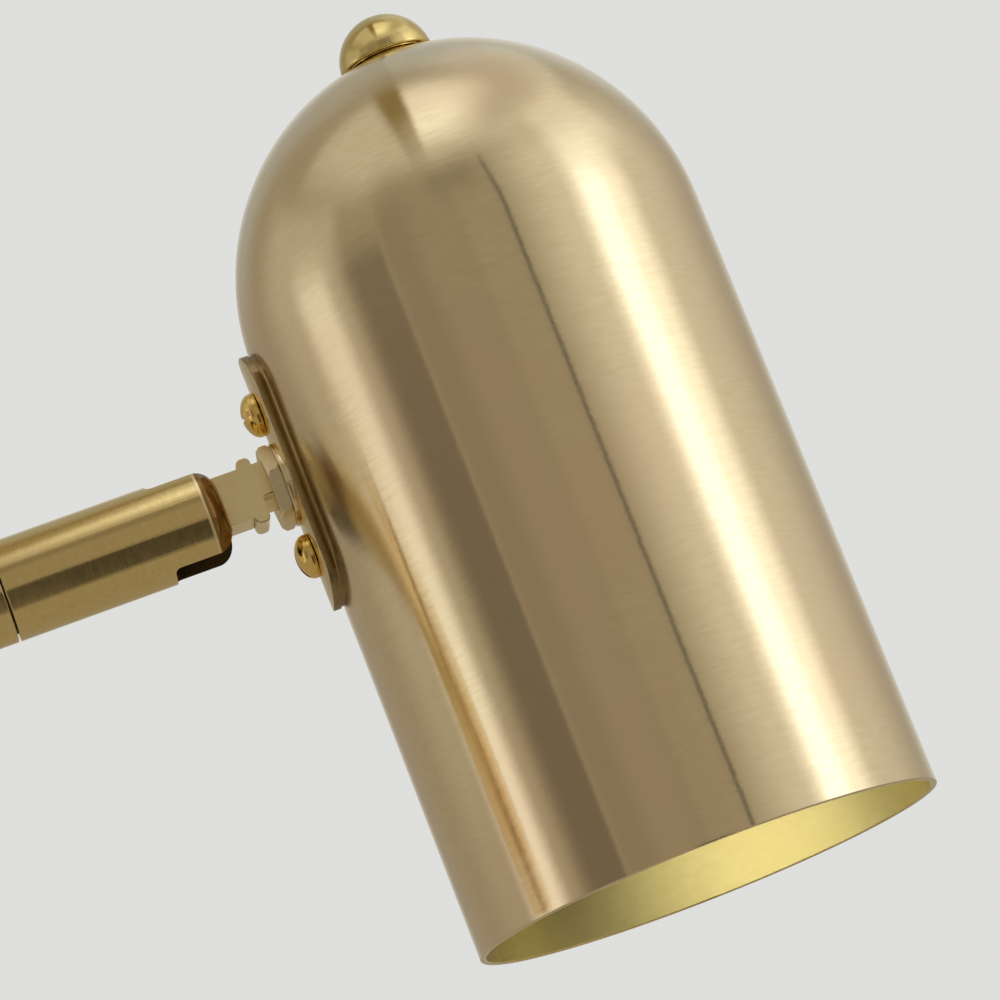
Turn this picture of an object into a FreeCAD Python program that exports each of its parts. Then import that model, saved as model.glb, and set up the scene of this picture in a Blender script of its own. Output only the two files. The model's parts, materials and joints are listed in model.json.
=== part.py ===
import FreeCAD, Part
import math
import os

# Swing arm wall lamp, in millimetres.
# The origin is the centre of the canopy's back face. +Y points into the wall, +Z is up.
# At rest the arm runs straight out from the wall along -Y, and the shade hangs with its opening down.
# Distances named "away" are measured from the shade's axis towards the wall.

Vector = FreeCAD.Vector
along_x = Vector(1, 0, 0)
along_y = Vector(0, 1, 0)
along_z = Vector(0, 0, 1)

# Where the pivots and the shade stand
hub_y = -58.0
inner_arm_reach = 160.0
outer_arm_reach = 215.0
elbow_y = hub_y - inner_arm_reach
shade_y = elbow_y - outer_arm_reach

# Shade
shade_radius = 37.5
shade_wall = 1.0
shade_straight = 100.0
dome_height = 38.8
opening_z = -78.8
straight_top_z = opening_z + shade_straight
apex_z = straight_top_z + dome_height

# Cutters run past the faces that they open by this much
past = 5.0

# Tube, the hollow way for the wires, and clearances
tube_outer = 16.0
tube_inner = 14.0
nipple_diameter = 10.0
wire_way = 7.0
running_clearance = 0.05
running_bore = nipple_diameter + 2 * running_clearance

# Swing joint: two barrels on a hollow pivot, one above the other
barrel_diameter = 22.0
barrel_height = 18.5
barrel_edge = 0.5
spigot_depth = 4.5
plug_length = 12.0
slip_washer_thick = 0.45
slip_washer_diameter = 19.0
wave_washer_thick = 0.6
wave_washer_diameter = 18.0
cap_height = 3.6
cap_thread = 2.2
cap_edge = 1.9
cap_base_edge = 0.3
cap_slot_width = 1.4
cap_slot_depth = 0.9
pivot_window = 6.0
barrel_step = barrel_height + slip_washer_thick + running_clearance
inner_arm_z = barrel_step

# Wall part
canopy_diameter = 100.0
canopy_depth = 22.0
canopy_wall = 1.2
canopy_edge = 6.0
crossbar_length = 92.0
crossbar_width = 18.0
crossbar_thick = 2.0
crossbar_hole = 12.0
crossbar_corner = 2.0
tab_width = 24.0
tab_top_z = 40.0
wall_hole_spacing = 76.0
wall_slot_width = 5.0
wall_slot_length = 9.0
stud_spacing = 52.0
stud_diameter = 4.0
stud_reach = 26.5
cap_nut_diameter = 9.0
cap_nut_height = 6.5
ground_screw_x = 14.0
ground_screw_head = 7.5
ground_screw_head_height = 2.6
ground_screw_edge = 1.4
ground_screw_slot_width = 1.0
ground_screw_slot_depth = 1.1
terminal_width = 28.0
terminal_height = 13.0
terminal_depth = 13.0
terminal_bottom_z = 25.0
terminal_pitch = 9.0
terminal_hole = 3.4
terminal_screw_diameter = 3.0
terminal_screw_length = 3.6
terminal_screw_sunk = 0.8
stem_spigot = 9.0
stem_collar_diameter = 24.0
stem_collar_thick = 2.6
stem_collar_edge = 1.2
stem_nut_flats = 14.0
stem_nut_thick = 3.0

# Swivel sleeve and its roll joint
sleeve_head_end = 49.8
sleeve_wall_end = 85.9
sleeve_edge = 3.2
sleeve_seam_edge = 0.2
fork_slot_width = 8.8
fork_slot_depth = 10.5
fork_slot_corner = 1.0
tilt_pin_away = 55.0
tilt_pin_diameter = 3.5
tilt_pin_blind_x = -6.4
tilt_pin_seat_x = 5.6
tilt_pin_top_x = 6.9
tilt_pin_head = 5.6
tilt_pin_slot = 0.8
friction_washer_thick = 0.35
friction_washer_diameter = 8.4
seam_gap = 0.3
roll_washer_diameter = 13.4
spindle_socket = 9.0
bushing_length = 14.0
roll_nut_thick = 3.0
roll_nut_diameter = 12.8
spindle_past_nut = 0.6

# Tongue: a square bar from its round root on the tilt pin to the ears beside the nut.
# The strap, the tongue and the tilt pin lie on one line, a little above the arm's axis.
tongue_line_z = 1.0
tongue_side = 8.0
ear_height = 10.6
ear_near_away = 43.6
ear_far_away = 45.9
ear_corner = 0.9
neck_diameter = 6.6
neck_top_z = -1.3
stub_diameter = 8.0
stub_way = 4.4
stub_end_away = 30.8
wire_groove_width = 3.0
wire_groove_floor_z = -2.4
wire_outlet_away = 49.6
wire_outlet_length = 3.0

# Strap on the shade's side
strap_length = 42.6
strap_width = 14.2
strap_thick = 1.25
saddle_width = 17.4
saddle_thick = 0.55
saddle_setback = 0.3
saddle_face = shade_radius + saddle_thick
strap_face = saddle_face + strap_thick
curved_washer_diameter = 13.6
nut_seat_away = 39.8
nut_face_away = 42.0
strap_nut_flats = 12.0
strap_nut_turn = 13.0
strap_screw_spacing = 24.0
strap_screw_diameter = 4.0
strap_screw_head = 7.1
strap_screw_head_height = 2.75
strap_screw_rim = 0.5
strap_screw_slot_width = 1.0
strap_screw_slot_depth = 1.2
strap_screw_end_away = 32.6
strap_screw_slot_turns = (0.0, 90.0)

# Bracket, lampholder and bulb inside the shade
bracket_width = 14.0
bracket_thick = 1.5
bracket_face_away = 35.8
bracket_bottom_z = -18.0
bracket_top_z = 21.3
bracket_bend = 3.0
bracket_tip_away = -8.5
inner_nut_flats = 13.0
inner_nut_thick = 2.5
holder_nut_flats = 14.0
holder_nut_thick = 2.5
holder_top_z = bracket_top_z - bracket_thick - holder_nut_thick
holder_bottom_z = -16.0
holder_diameter = 28.0
holder_edge = 2.5
holder_mouth = 20.5
holder_mouth_z = -8.0
holder_floor_z = 12.5
nipple_bottom_z = 13.8
nipple_past_nut = 1.5
shell_outer = 15.6
shell_inner = 14.2
shell_top_z = 10.5
contact_thick = 0.4
bulb_cap_flange = 16.6
bulb_cap_flange_thick = 0.7
bulb_cap_bottom_z = -9.5
bulb_cap_top_z = 9.6
bulb_cap_shoulder = 0.6
bulb_tip_radius = 3.0
bulb_tip_z = 11.2
bulb_bottom_z = -64.0
bulb_radius = 22.5
bulb_neck_radius = 8.3
bulb_shoulder_deg = 50.0
bulb_wall = 0.9

# Switch at the apex
knob_radius = 7.65
knob_height = 7.65
knob_base_z = apex_z + 0.2
knob_recess_radius = 6.4
knob_recess_depth = 1.9
shaft_diameter = 4.0
shaft_bottom_z = apex_z - 19.0
shaft_into_knob = 5.0
shaft_end_gap = 0.5
ring_nut_radius = 5.9
ring_nut_top_z = apex_z + 1.1
switch_nut_flats = 13.0
switch_nut_thick = 2.6
switch_diameter = 20.0
switch_top_z = apex_z - 5.0
switch_height = 15.5
switch_edge = 1.0
terminal_lug_width = 4.0
terminal_lug_thick = 0.8
terminal_lug_height = 4.0
terminal_lug_spacing = 10.0


def away(distance, x=0.0, z=0.0):
    return Vector(x, shade_y + distance, z)


def on_axis(z):
    return Vector(0, shade_y, z)


def rod(diameter, start, end):
    axis = end - start
    return Part.makeCylinder(diameter / 2, axis.Length, start, axis)


def pipe(outer, inner, start, end):
    return rod(outer, start, end).cut(rod(inner, start, end))


def block(x_range, y_range, z_range):
    low = Vector(min(x_range), min(y_range), min(z_range))
    high = Vector(max(x_range), max(y_range), max(z_range))
    return Part.makeBox(high.x - low.x, high.y - low.y, high.z - low.z, low)


def rounded(shape, radius, chosen):
    return shape.makeFillet(radius, [edge for edge in shape.Edges if chosen(edge)])


def ring_edge(edge, centre):
    # True for a full circle around this point
    is_circle = isinstance(edge.Curve, Part.Circle)
    return is_circle and edge.Curve.Center.distanceToPoint(centre) < 0.01


def rounded_rod(diameter, start, end, start_radius, end_radius):
    shape = rod(diameter, start, end)
    if start_radius:
        shape = rounded(shape, start_radius, lambda edge: ring_edge(edge, start))
    if end_radius:
        shape = rounded(shape, end_radius, lambda edge: ring_edge(edge, end))
    return shape


def slab(points, x_half):
    # A plate of this (away, z) outline, centred on x = 0
    corners = [away(distance, -x_half, z) for distance, z in points]
    face = Part.Face(Part.makePolygon(corners + corners[:1]))
    return face.extrude(along_x * (2 * x_half))


def hexagon(flats, start, end, turn_deg=0.0):
    # A nut blank: a six-sided prism inside a chamfered round
    axis = end - start
    corner_radius = flats / math.sqrt(3)
    side = along_x * -1
    points = []
    for index in range(7):
        turn = FreeCAD.Rotation(axis, turn_deg + 60.0 * index)
        points.append(start + turn.multVec(side) * corner_radius)
    prism = Part.Face(Part.makePolygon(points)).extrude(axis)
    blank = Part.makeCylinder(corner_radius, axis.Length, start, axis)
    rims = [edge for edge in blank.Edges if isinstance(edge.Curve, Part.Circle)]
    return prism.common(blank.makeChamfer(0.05 * flats, rims))


def turned(edges, centre, axis):
    # Revolve a closed outline that touches its axis
    return Part.Face(Part.Wire(Part.__sortEdges__(edges))).revolve(centre, axis, 360)


def bullet(inset):
    # The shade's outline as a solid, moved inwards by the inset
    radius = shade_radius - inset
    top = on_axis(apex_z - inset)
    side = Vector(radius, shade_y, straight_top_z)
    ellipse = Part.Ellipse(top, side, on_axis(straight_top_z))
    foot = Vector(radius, shade_y, opening_z)
    edges = [
        Part.ArcOfEllipse(ellipse, 0, math.pi / 2).toShape(),
        Part.LineSegment(side, foot).toShape(),
        Part.LineSegment(foot, on_axis(opening_z)).toShape(),
        Part.LineSegment(on_axis(opening_z), top).toShape(),
    ]
    return turned(edges, on_axis(opening_z), along_z)


def obround(length, width, low_away, high_away):
    # A plate with round ends, its length along Z
    straight = length / 2 - width / 2
    near = shade_y + low_away
    far = shade_y + high_away
    plate = block((-width / 2, width / 2), (near, far), (-straight, straight))
    for z in (-straight, straight):
        plate = plate.fuse(rod(width, Vector(0, near, z), Vector(0, far, z)))
    return plate.removeSplitter()


def curved_plate(length, width, inner_radius, outer_radius):
    # A strap layer bent round the shade's axis
    blank = obround(length, width, inner_radius - past, outer_radius + past)
    bent = pipe(2 * outer_radius, 2 * inner_radius, on_axis(-strap_length), on_axis(strap_length))
    return blank.common(bent)


def strap_hole_cutter():
    # The stub's hole and the two screw holes, through everything that the strap clamps
    cutter = rod(stub_diameter, away(stub_end_away), away(nut_face_away + past))
    for z in (-strap_screw_spacing / 2, strap_screw_spacing / 2):
        start = away(strap_screw_end_away - past, z=z)
        cutter = cutter.fuse(rod(strap_screw_diameter, start, away(strap_face + past, z=z)))
    return cutter


def raised(shape):
    # From the arm's axis to the tongue's line
    return shape.translated(along_z * tongue_line_z)


def dome_solid(radius, height, base, axis):
    # Half an ellipsoid standing on its base, no taller than it is wide
    scale = FreeCAD.Matrix()
    scale.scale(1, 1, height / radius)
    half = Part.makeSphere(radius, Vector(0, 0, 0), along_z, 0, 90, 360)
    if abs(height - radius) > 0.001:
        half = half.transformGeometry(scale)
    half.Placement = FreeCAD.Placement(base, FreeCAD.Rotation(along_z, axis))
    return half


def make_shade():
    shade = bullet(0).cut(bullet(shade_wall)).cut(raised(strap_hole_cutter()))
    return shade.cut(rod(nipple_diameter, on_axis(apex_z - past), on_axis(apex_z + past)))


def make_strap_layers():
    holes = strap_hole_cutter()
    saddle_length = strap_length - 2 * saddle_setback
    saddle = curved_plate(saddle_length, saddle_width, shade_radius, saddle_face).cut(holes)
    strap = curved_plate(strap_length, strap_width, saddle_face, strap_face).cut(holes)
    washer = rod(curved_washer_diameter, away(shade_radius), away(nut_seat_away))
    washer = washer.cut(rod(2 * strap_face, on_axis(-strap_length), on_axis(strap_length))).cut(holes)
    return {
        "saddle_plate": raised(saddle),
        "outer_strap": raised(strap),
        "curved_washer": raised(washer),
    }


def make_strap_nuts():
    hole = rod(stub_diameter, away(stub_end_away), away(nut_face_away))
    outer = hexagon(strap_nut_flats, away(nut_seat_away), away(nut_face_away), strap_nut_turn)
    seat = bracket_face_away - bracket_thick
    inner = hexagon(inner_nut_flats, away(seat), away(seat - inner_nut_thick), strap_nut_turn)
    return {"strap_nut": raised(outer.cut(hole)), "inner_nut": raised(inner.cut(hole))}


def make_strap_screws():
    screws = []
    for z, turn in zip((strap_screw_spacing / 2, -strap_screw_spacing / 2), strap_screw_slot_turns):
        seat = away(strap_face, z=z)
        brim = away(strap_face + strap_screw_rim, z=z)
        shank = rod(strap_screw_diameter, away(strap_screw_end_away, z=z), seat)
        dome_height_here = strap_screw_head_height - strap_screw_rim
        dome = dome_solid(strap_screw_head / 2, dome_height_here, brim, along_y)
        screw = shank.fuse(rod(strap_screw_head, seat, brim)).fuse(dome)
        low = strap_face + strap_screw_head_height - strap_screw_slot_depth
        reach = strap_screw_head
        slot = block(
            (-reach, reach),
            (shade_y + low, shade_y + low + reach),
            (-strap_screw_slot_width / 2, strap_screw_slot_width / 2),
        )
        slot.rotate(Vector(0, 0, 0), along_y, turn)
        slot.translate(Vector(0, 0, z))
        screws.append(raised(screw.cut(slot).removeSplitter()))
    return Part.makeCompound(screws)


def make_tongue():
    half = tongue_side / 2
    near = shade_y + nut_face_away
    pin = shade_y + tilt_pin_away
    root = shade_y + tilt_pin_away + tongue_side
    bar = block((-half, half), (near, pin), (-half, half))
    bar = bar.fuse(rod(tongue_side, away(tilt_pin_away, x=-half), away(tilt_pin_away, x=half)))
    ears = block(
        (-half, half),
        (shade_y + ear_near_away, shade_y + ear_far_away),
        (-ear_height / 2, ear_height / 2),
    )
    ears = rounded(ears, ear_corner, lambda edge: abs(edge.CenterOfMass.x) < 0.01)
    under_neck = block((-half, half), (near, shade_y + ear_near_away), (-half, neck_top_z))
    tongue = bar.fuse(ears).cut(under_neck)
    tongue = tongue.fuse(rod(neck_diameter, away(nut_face_away), away(ear_near_away)))
    tongue = tongue.fuse(rod(stub_diameter, away(stub_end_away), away(nut_face_away)))
    outlet = shade_y + wire_outlet_away
    groove_x = (-wire_groove_width / 2, wire_groove_width / 2)
    groove = block(groove_x, (outlet, root), (-half, wire_groove_floor_z))
    turn_down = block(groove_x, (outlet, outlet + wire_outlet_length), (-half, 0))
    bore = rod(stub_way, away(stub_end_away), away(wire_outlet_away + wire_outlet_length / 2))
    pin_hole = rod(
        tilt_pin_diameter + 2 * running_clearance,
        away(tilt_pin_away, x=-tongue_side),
        away(tilt_pin_away, x=tongue_side),
    )
    return raised(tongue.cut(groove).cut(turn_down).cut(bore).cut(pin_hole).removeSplitter())


def make_bracket():
    face = bracket_face_away
    inside = face - bracket_thick
    outline = [
        (face, bracket_bottom_z),
        (face, bracket_top_z),
        (bracket_tip_away, bracket_top_z),
        (bracket_tip_away, bracket_top_z - bracket_thick),
        (inside, bracket_top_z - bracket_thick),
        (inside, bracket_bottom_z),
    ]
    bracket = slab(outline, bracket_width / 2)
    corner = away(face, z=bracket_top_z)
    bracket = rounded(bracket, bracket_bend, lambda edge: edge.CenterOfMass.distanceToPoint(corner) < 0.01)
    bracket = bracket.cut(raised(strap_hole_cutter()))
    return bracket.cut(rod(nipple_diameter, on_axis(holder_top_z), on_axis(bracket_top_z + past)))


def make_lampholder():
    body = rounded_rod(holder_diameter, on_axis(holder_bottom_z), on_axis(holder_top_z), 0, holder_edge)
    body = body.cut(rod(holder_mouth, on_axis(holder_bottom_z), on_axis(holder_mouth_z)))
    body = body.cut(rod(shell_outer, on_axis(holder_mouth_z), on_axis(holder_floor_z)))
    body = body.cut(rod(nipple_diameter, on_axis(nipple_bottom_z), on_axis(holder_top_z)))
    shell = pipe(shell_outer, shell_inner, on_axis(holder_mouth_z), on_axis(shell_top_z))
    spring_foot = shade_y - shell_inner / 2 + 1
    contact = block(
        (-bulb_tip_radius, bulb_tip_radius),
        (spring_foot, shade_y + bulb_tip_radius),
        (bulb_tip_z, bulb_tip_z + contact_thick),
    )
    contact = contact.fuse(block(
        (-bulb_tip_radius, bulb_tip_radius),
        (spring_foot, spring_foot + contact_thick),
        (bulb_tip_z, holder_floor_z),
    ))
    return {
        "lampholder_body": body,
        "lampholder_shell": shell,
        "lampholder_contact": contact.removeSplitter(),
    }


def make_holder_fixings():
    top = bracket_top_z + holder_nut_thick
    nipple = pipe(nipple_diameter, wire_way, on_axis(nipple_bottom_z), on_axis(top + nipple_past_nut))
    hole = rod(nipple_diameter, on_axis(nipple_bottom_z), on_axis(top + nipple_past_nut))
    nuts = []
    for low_z in (holder_top_z, bracket_top_z):
        nut = hexagon(holder_nut_flats, on_axis(low_z), on_axis(low_z + holder_nut_thick))
        nuts.append(nut.cut(hole))
    return {"holder_nipple": nipple, "holder_nuts": Part.makeCompound(nuts)}


def bulb_solid(inset):
    # Round bulb with a concave neck, moved inwards by the inset
    radius = bulb_radius - inset
    centre_z = bulb_bottom_z + bulb_radius
    angle = math.radians(bulb_shoulder_deg)
    fillet = (bulb_radius * math.cos(angle) - bulb_neck_radius) / (1 - math.cos(angle))
    neck_z = centre_z + (bulb_radius + fillet) * math.sin(angle)
    fillet_x = bulb_neck_radius + fillet
    neck = bulb_neck_radius - inset

    def at(x, z):
        return Vector(x, shade_y, z)

    bottom = at(0, centre_z - radius)
    shoulder = at(radius * math.cos(angle), centre_z + radius * math.sin(angle))
    middle = at(
        fillet_x - (fillet + inset) * math.cos(angle / 2),
        neck_z - (fillet + inset) * math.sin(angle / 2),
    )
    edges = [
        Part.Arc(bottom, at(radius, centre_z), shoulder).toShape(),
        Part.Arc(shoulder, middle, at(neck, neck_z)).toShape(),
        Part.LineSegment(at(neck, neck_z), at(neck, bulb_cap_bottom_z)).toShape(),
        Part.LineSegment(at(neck, bulb_cap_bottom_z), on_axis(bulb_cap_bottom_z)).toShape(),
        Part.LineSegment(on_axis(bulb_cap_bottom_z), bottom).toShape(),
    ]
    return turned(edges, on_axis(bulb_bottom_z), along_z)


def make_bulb():
    cap = rod(shell_inner, on_axis(bulb_cap_bottom_z), on_axis(bulb_cap_top_z))
    flange_top = on_axis(bulb_cap_bottom_z + bulb_cap_flange_thick)
    cap = cap.fuse(rod(bulb_cap_flange, on_axis(bulb_cap_bottom_z), flange_top))
    tip = Part.makeCone(
        shell_inner / 2 - bulb_cap_shoulder,
        bulb_tip_radius,
        bulb_tip_z - bulb_cap_top_z,
        on_axis(bulb_cap_top_z),
        along_z,
    )
    return {
        "bulb_glass": bulb_solid(0).cut(bulb_solid(bulb_wall)),
        "bulb_cap": cap.removeSplitter(),
        "bulb_tip": tip,
    }


def make_switch():
    outside = bullet(0)
    inside = bullet(shade_wall)
    bore = rod(nipple_diameter, on_axis(switch_top_z - past), on_axis(apex_z + past))
    shaft_bore = rod(
        shaft_diameter + 2 * running_clearance,
        on_axis(shaft_bottom_z - shaft_end_gap),
        on_axis(apex_z + past),
    )
    ring_nut = rod(2 * ring_nut_radius, on_axis(apex_z - shade_wall), on_axis(ring_nut_top_z))
    ring_nut = ring_nut.cut(outside).cut(bore)
    lock_nut = hexagon(switch_nut_flats, on_axis(apex_z), on_axis(apex_z - shade_wall - switch_nut_thick))
    lock_nut = lock_nut.common(inside).cut(bore)
    bushing = rod(nipple_diameter, on_axis(switch_top_z), on_axis(ring_nut_top_z)).cut(shaft_bore)
    bottom_z = switch_top_z - switch_height
    body = rounded_rod(switch_diameter, on_axis(bottom_z), on_axis(switch_top_z), switch_edge, switch_edge)
    body = body.cut(shaft_bore)
    lugs = []
    for x in (-terminal_lug_spacing / 2, terminal_lug_spacing / 2):
        lugs.append(block(
            (x - terminal_lug_thick / 2, x + terminal_lug_thick / 2),
            (shade_y - terminal_lug_width / 2, shade_y + terminal_lug_width / 2),
            (bottom_z - terminal_lug_height, bottom_z),
        ))
    return {
        "switch_ring_nut": ring_nut,
        "switch_lock_nut": lock_nut,
        "switch_bushing": bushing,
        "switch_body": body,
        "switch_lugs": Part.makeCompound(lugs),
    }


def make_knob():
    base = on_axis(knob_base_z)
    knob = dome_solid(knob_radius, knob_height, base, along_z)
    recess = rod(2 * knob_recess_radius, base, on_axis(knob_base_z + knob_recess_depth))
    shaft = rod(shaft_diameter, on_axis(shaft_bottom_z), on_axis(knob_base_z + shaft_into_knob))
    return {"switch_knob": knob.cut(recess).cut(shaft), "switch_shaft": shaft}


def make_sleeve():
    head_end = away(sleeve_head_end)
    wall_end = away(sleeve_wall_end)
    socket = away(sleeve_wall_end - spindle_socket)
    slot_end = sleeve_head_end + fork_slot_depth
    sleeve = rounded_rod(tube_outer, head_end, wall_end, sleeve_edge, sleeve_seam_edge)
    sleeve = sleeve.cut(rod(nipple_diameter, socket, wall_end))
    sleeve = sleeve.cut(rod(wire_way, away(slot_end - past), socket))
    slot = block(
        (-fork_slot_width / 2, fork_slot_width / 2),
        (shade_y + sleeve_head_end - past, shade_y + slot_end),
        (-tube_outer, tube_outer),
    )

    def is_slot_corner(edge):
        upright = abs(edge.BoundBox.ZLength - 2 * tube_outer) < 0.01
        return upright and abs(edge.CenterOfMass.y - shade_y - slot_end) < 0.01

    sleeve = sleeve.cut(rounded(slot, fork_slot_corner, is_slot_corner))
    head_well = rod(
        tilt_pin_head,
        away(tilt_pin_away, x=tilt_pin_seat_x),
        away(tilt_pin_away, x=tube_outer),
    )
    return sleeve.cut(raised(tilt_pin_blank())).cut(raised(head_well))


def tilt_pin_blank():
    shank = rod(
        tilt_pin_diameter,
        away(tilt_pin_away, x=tilt_pin_blind_x),
        away(tilt_pin_away, x=tilt_pin_top_x),
    )
    head = rod(
        tilt_pin_head,
        away(tilt_pin_away, x=tilt_pin_seat_x),
        away(tilt_pin_away, x=tilt_pin_top_x),
    )
    return shank.fuse(head).removeSplitter()


def make_tilt_pin():
    slot = block(
        (tilt_pin_top_x - tilt_pin_slot, tilt_pin_top_x + past),
        (shade_y + tilt_pin_away - tilt_pin_slot / 2, shade_y + tilt_pin_away + tilt_pin_slot / 2),
        (-tilt_pin_head, tilt_pin_head),
    )
    return raised(tilt_pin_blank().cut(slot))


def make_friction_washers():
    washers = []
    for side in (-1, 1):
        outer = away(tilt_pin_away, x=side * fork_slot_width / 2)
        inner = away(tilt_pin_away, x=side * (fork_slot_width / 2 - friction_washer_thick))
        washers.append(raised(pipe(friction_washer_diameter, tilt_pin_diameter, inner, outer)))
    return Part.makeCompound(washers)


def make_roll_joint():
    tube_end = sleeve_wall_end + seam_gap
    bushing_end = tube_end + bushing_length
    wave = bushing_end + running_clearance
    nut = wave + wave_washer_thick
    spindle_end = nut + roll_nut_thick + spindle_past_nut
    slip_end = tube_end - running_clearance
    return {
        "roll_bushing": pipe(tube_inner, running_bore, away(tube_end), away(bushing_end)),
        "roll_slip_washer": pipe(
            roll_washer_diameter, nipple_diameter, away(sleeve_wall_end), away(slip_end)),
        "roll_wave_washer": pipe(roll_nut_diameter, nipple_diameter, away(wave), away(nut)),
        "roll_nut": pipe(
            roll_nut_diameter, nipple_diameter, away(nut), away(nut + roll_nut_thick)),
        "roll_spindle": pipe(
            nipple_diameter, wire_way, away(sleeve_wall_end - spindle_socket), away(spindle_end)),
    }


def barrel_zone(pin_y, centre_z):
    half = barrel_height / 2
    return rod(barrel_diameter, Vector(0, pin_y, centre_z - half), Vector(0, pin_y, centre_z + half))


def make_barrel(pin_y, centre_z, arm_side, bore):
    # A barrel whose side hole faces along Y by arm_side, +1 or -1
    low = Vector(0, pin_y, centre_z - barrel_height / 2)
    high = Vector(0, pin_y, centre_z + barrel_height / 2)
    centre = Vector(0, pin_y, centre_z)
    reach = along_y * arm_side
    barrel = rounded_rod(barrel_diameter, low, high, barrel_edge, barrel_edge)
    floor = centre + reach * (barrel_diameter / 2 - spigot_depth)
    barrel = barrel.cut(rod(bore, low, high))
    barrel = barrel.cut(rod(wire_way, centre, floor))
    return barrel.cut(rod(nipple_diameter, floor, centre + reach * barrel_diameter))


def make_spigot(pin_y, centre_z, arm_side):
    # The plug in a tube's end, with the threaded nose that enters the barrel
    centre = Vector(0, pin_y, centre_z)
    reach = along_y * arm_side
    floor = centre + reach * (barrel_diameter / 2 - spigot_depth)
    end = centre + reach * (barrel_diameter / 2 + plug_length)
    plug = rod(tube_inner, centre, end).cut(barrel_zone(pin_y, centre_z))
    nose = rod(nipple_diameter, floor, end)
    return plug.fuse(nose).cut(rod(wire_way, centre, end)).removeSplitter()


def make_arm_tube(start_y, end_y, z, barrel_ys):
    tube = pipe(tube_outer, tube_inner, Vector(0, start_y, z), Vector(0, end_y, z))
    for pin_y in barrel_ys:
        tube = tube.cut(barrel_zone(pin_y, z))
    return tube


def make_cap(pin_y, face_z, upwards):
    # A round cap screwed on the pivot's end, with a screwdriver slot
    up = along_z * upwards
    base = Vector(0, pin_y, face_z)
    top = base + up * cap_height
    cap = rounded_rod(barrel_diameter, base, top, cap_base_edge, cap_edge)
    cap = cap.cut(rod(nipple_diameter, base, base + up * cap_thread))
    slot = block(
        (-barrel_diameter, barrel_diameter),
        (pin_y - cap_slot_width / 2, pin_y + cap_slot_width / 2),
        (top.z - upwards * cap_slot_depth, top.z + upwards),
    )
    return cap.cut(slot)


def make_swing_joint(name, pin_y, fixed_z, moving_z, fixed_side, moving_side):
    # The pivot, caps and washers stay with the barrel at fixed_z
    upwards = 1 if moving_z > fixed_z else -1
    up = along_z * upwards
    half = barrel_height / 2
    fixed_far = Vector(0, pin_y, fixed_z) - up * half
    fixed_near = Vector(0, pin_y, fixed_z) + up * half
    moving_far = Vector(0, pin_y, moving_z) + up * half
    wave_start = moving_far + up * running_clearance
    wave_end = wave_start + up * wave_washer_thick
    pivot_start = fixed_far - up * cap_thread
    pivot_end = wave_end + up * cap_thread
    pivot = pipe(nipple_diameter, wire_way, pivot_start, pivot_end)
    # The wires enter by a window at the fixed barrel and leave by an open half at the moving one
    reach = pivot_window / 2
    pivot = pivot.cut(block(
        (-reach, reach),
        (pin_y, pin_y + fixed_side * nipple_diameter),
        (fixed_z - reach, fixed_z + reach),
    ))
    pivot = pivot.cut(block(
        (-nipple_diameter, nipple_diameter),
        (pin_y, pin_y + moving_side * nipple_diameter),
        (moving_z - reach, moving_z + reach),
    ))
    slip_end = fixed_near + up * slip_washer_thick
    return {
        name + "_fixed_barrel": make_barrel(pin_y, fixed_z, fixed_side, nipple_diameter),
        name + "_moving_barrel": make_barrel(pin_y, moving_z, moving_side, running_bore),
        name + "_pivot": pivot,
        name + "_slip_washer": pipe(slip_washer_diameter, nipple_diameter, fixed_near, slip_end),
        name + "_wave_washer": pipe(wave_washer_diameter, nipple_diameter, wave_start, wave_end),
        name + "_near_cap": make_cap(pin_y, fixed_far.z, -upwards),
        name + "_far_cap": make_cap(pin_y, wave_end.z, upwards),
    }


def make_canopy():
    front = Vector(0, -canopy_depth, 0)
    outer = rounded_rod(canopy_diameter, Vector(0, 0, 0), front, 0, canopy_edge)
    inner_front = front + along_y * canopy_wall
    inner = rounded_rod(
        canopy_diameter - 2 * canopy_wall, Vector(0, 0, 0), inner_front, 0, canopy_edge - canopy_wall)
    canopy = outer.cut(inner).cut(rod(nipple_diameter, front, inner_front))
    for x in (-stud_spacing / 2, stud_spacing / 2):
        side = Vector(x, 0, 0)
        canopy = canopy.cut(rod(stud_diameter, side + front, side + inner_front))
    return canopy


def make_crossbar():
    bar = block(
        (-crossbar_length / 2, crossbar_length / 2),
        (-crossbar_thick, 0),
        (-crossbar_width / 2, crossbar_width / 2),
    )
    bar = bar.fuse(block(
        (-tab_width / 2, tab_width / 2),
        (-crossbar_thick, 0),
        (0, tab_top_z),
    )).removeSplitter()

    def is_corner(edge):
        at_end = abs(abs(edge.CenterOfMass.x) - crossbar_length / 2) < 0.01
        return at_end and abs(abs(edge.CenterOfMass.z) - crossbar_width / 2) < 0.01

    bar = rounded(bar, crossbar_corner, is_corner)
    through = Vector(0, -crossbar_thick, 0)
    bar = bar.cut(rod(crossbar_hole, Vector(0, 0, 0), through))
    straight = (wall_slot_length - wall_slot_width) / 2
    for side in (-1, 1):
        centre_x = side * wall_hole_spacing / 2
        bar = bar.cut(block(
            (centre_x - straight, centre_x + straight),
            (-crossbar_thick, 0),
            (-wall_slot_width / 2, wall_slot_width / 2),
        ))
        for x in (centre_x - straight, centre_x + straight):
            bar = bar.cut(rod(wall_slot_width, Vector(x, 0, 0), Vector(x, 0, 0) + through))
        stud = Vector(side * stud_spacing / 2, 0, 0)
        bar = bar.cut(rod(stud_diameter, stud, stud + through))
    ground = Vector(ground_screw_x, 0, 0)
    return bar.cut(rod(stud_diameter, ground, ground + through))


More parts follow.
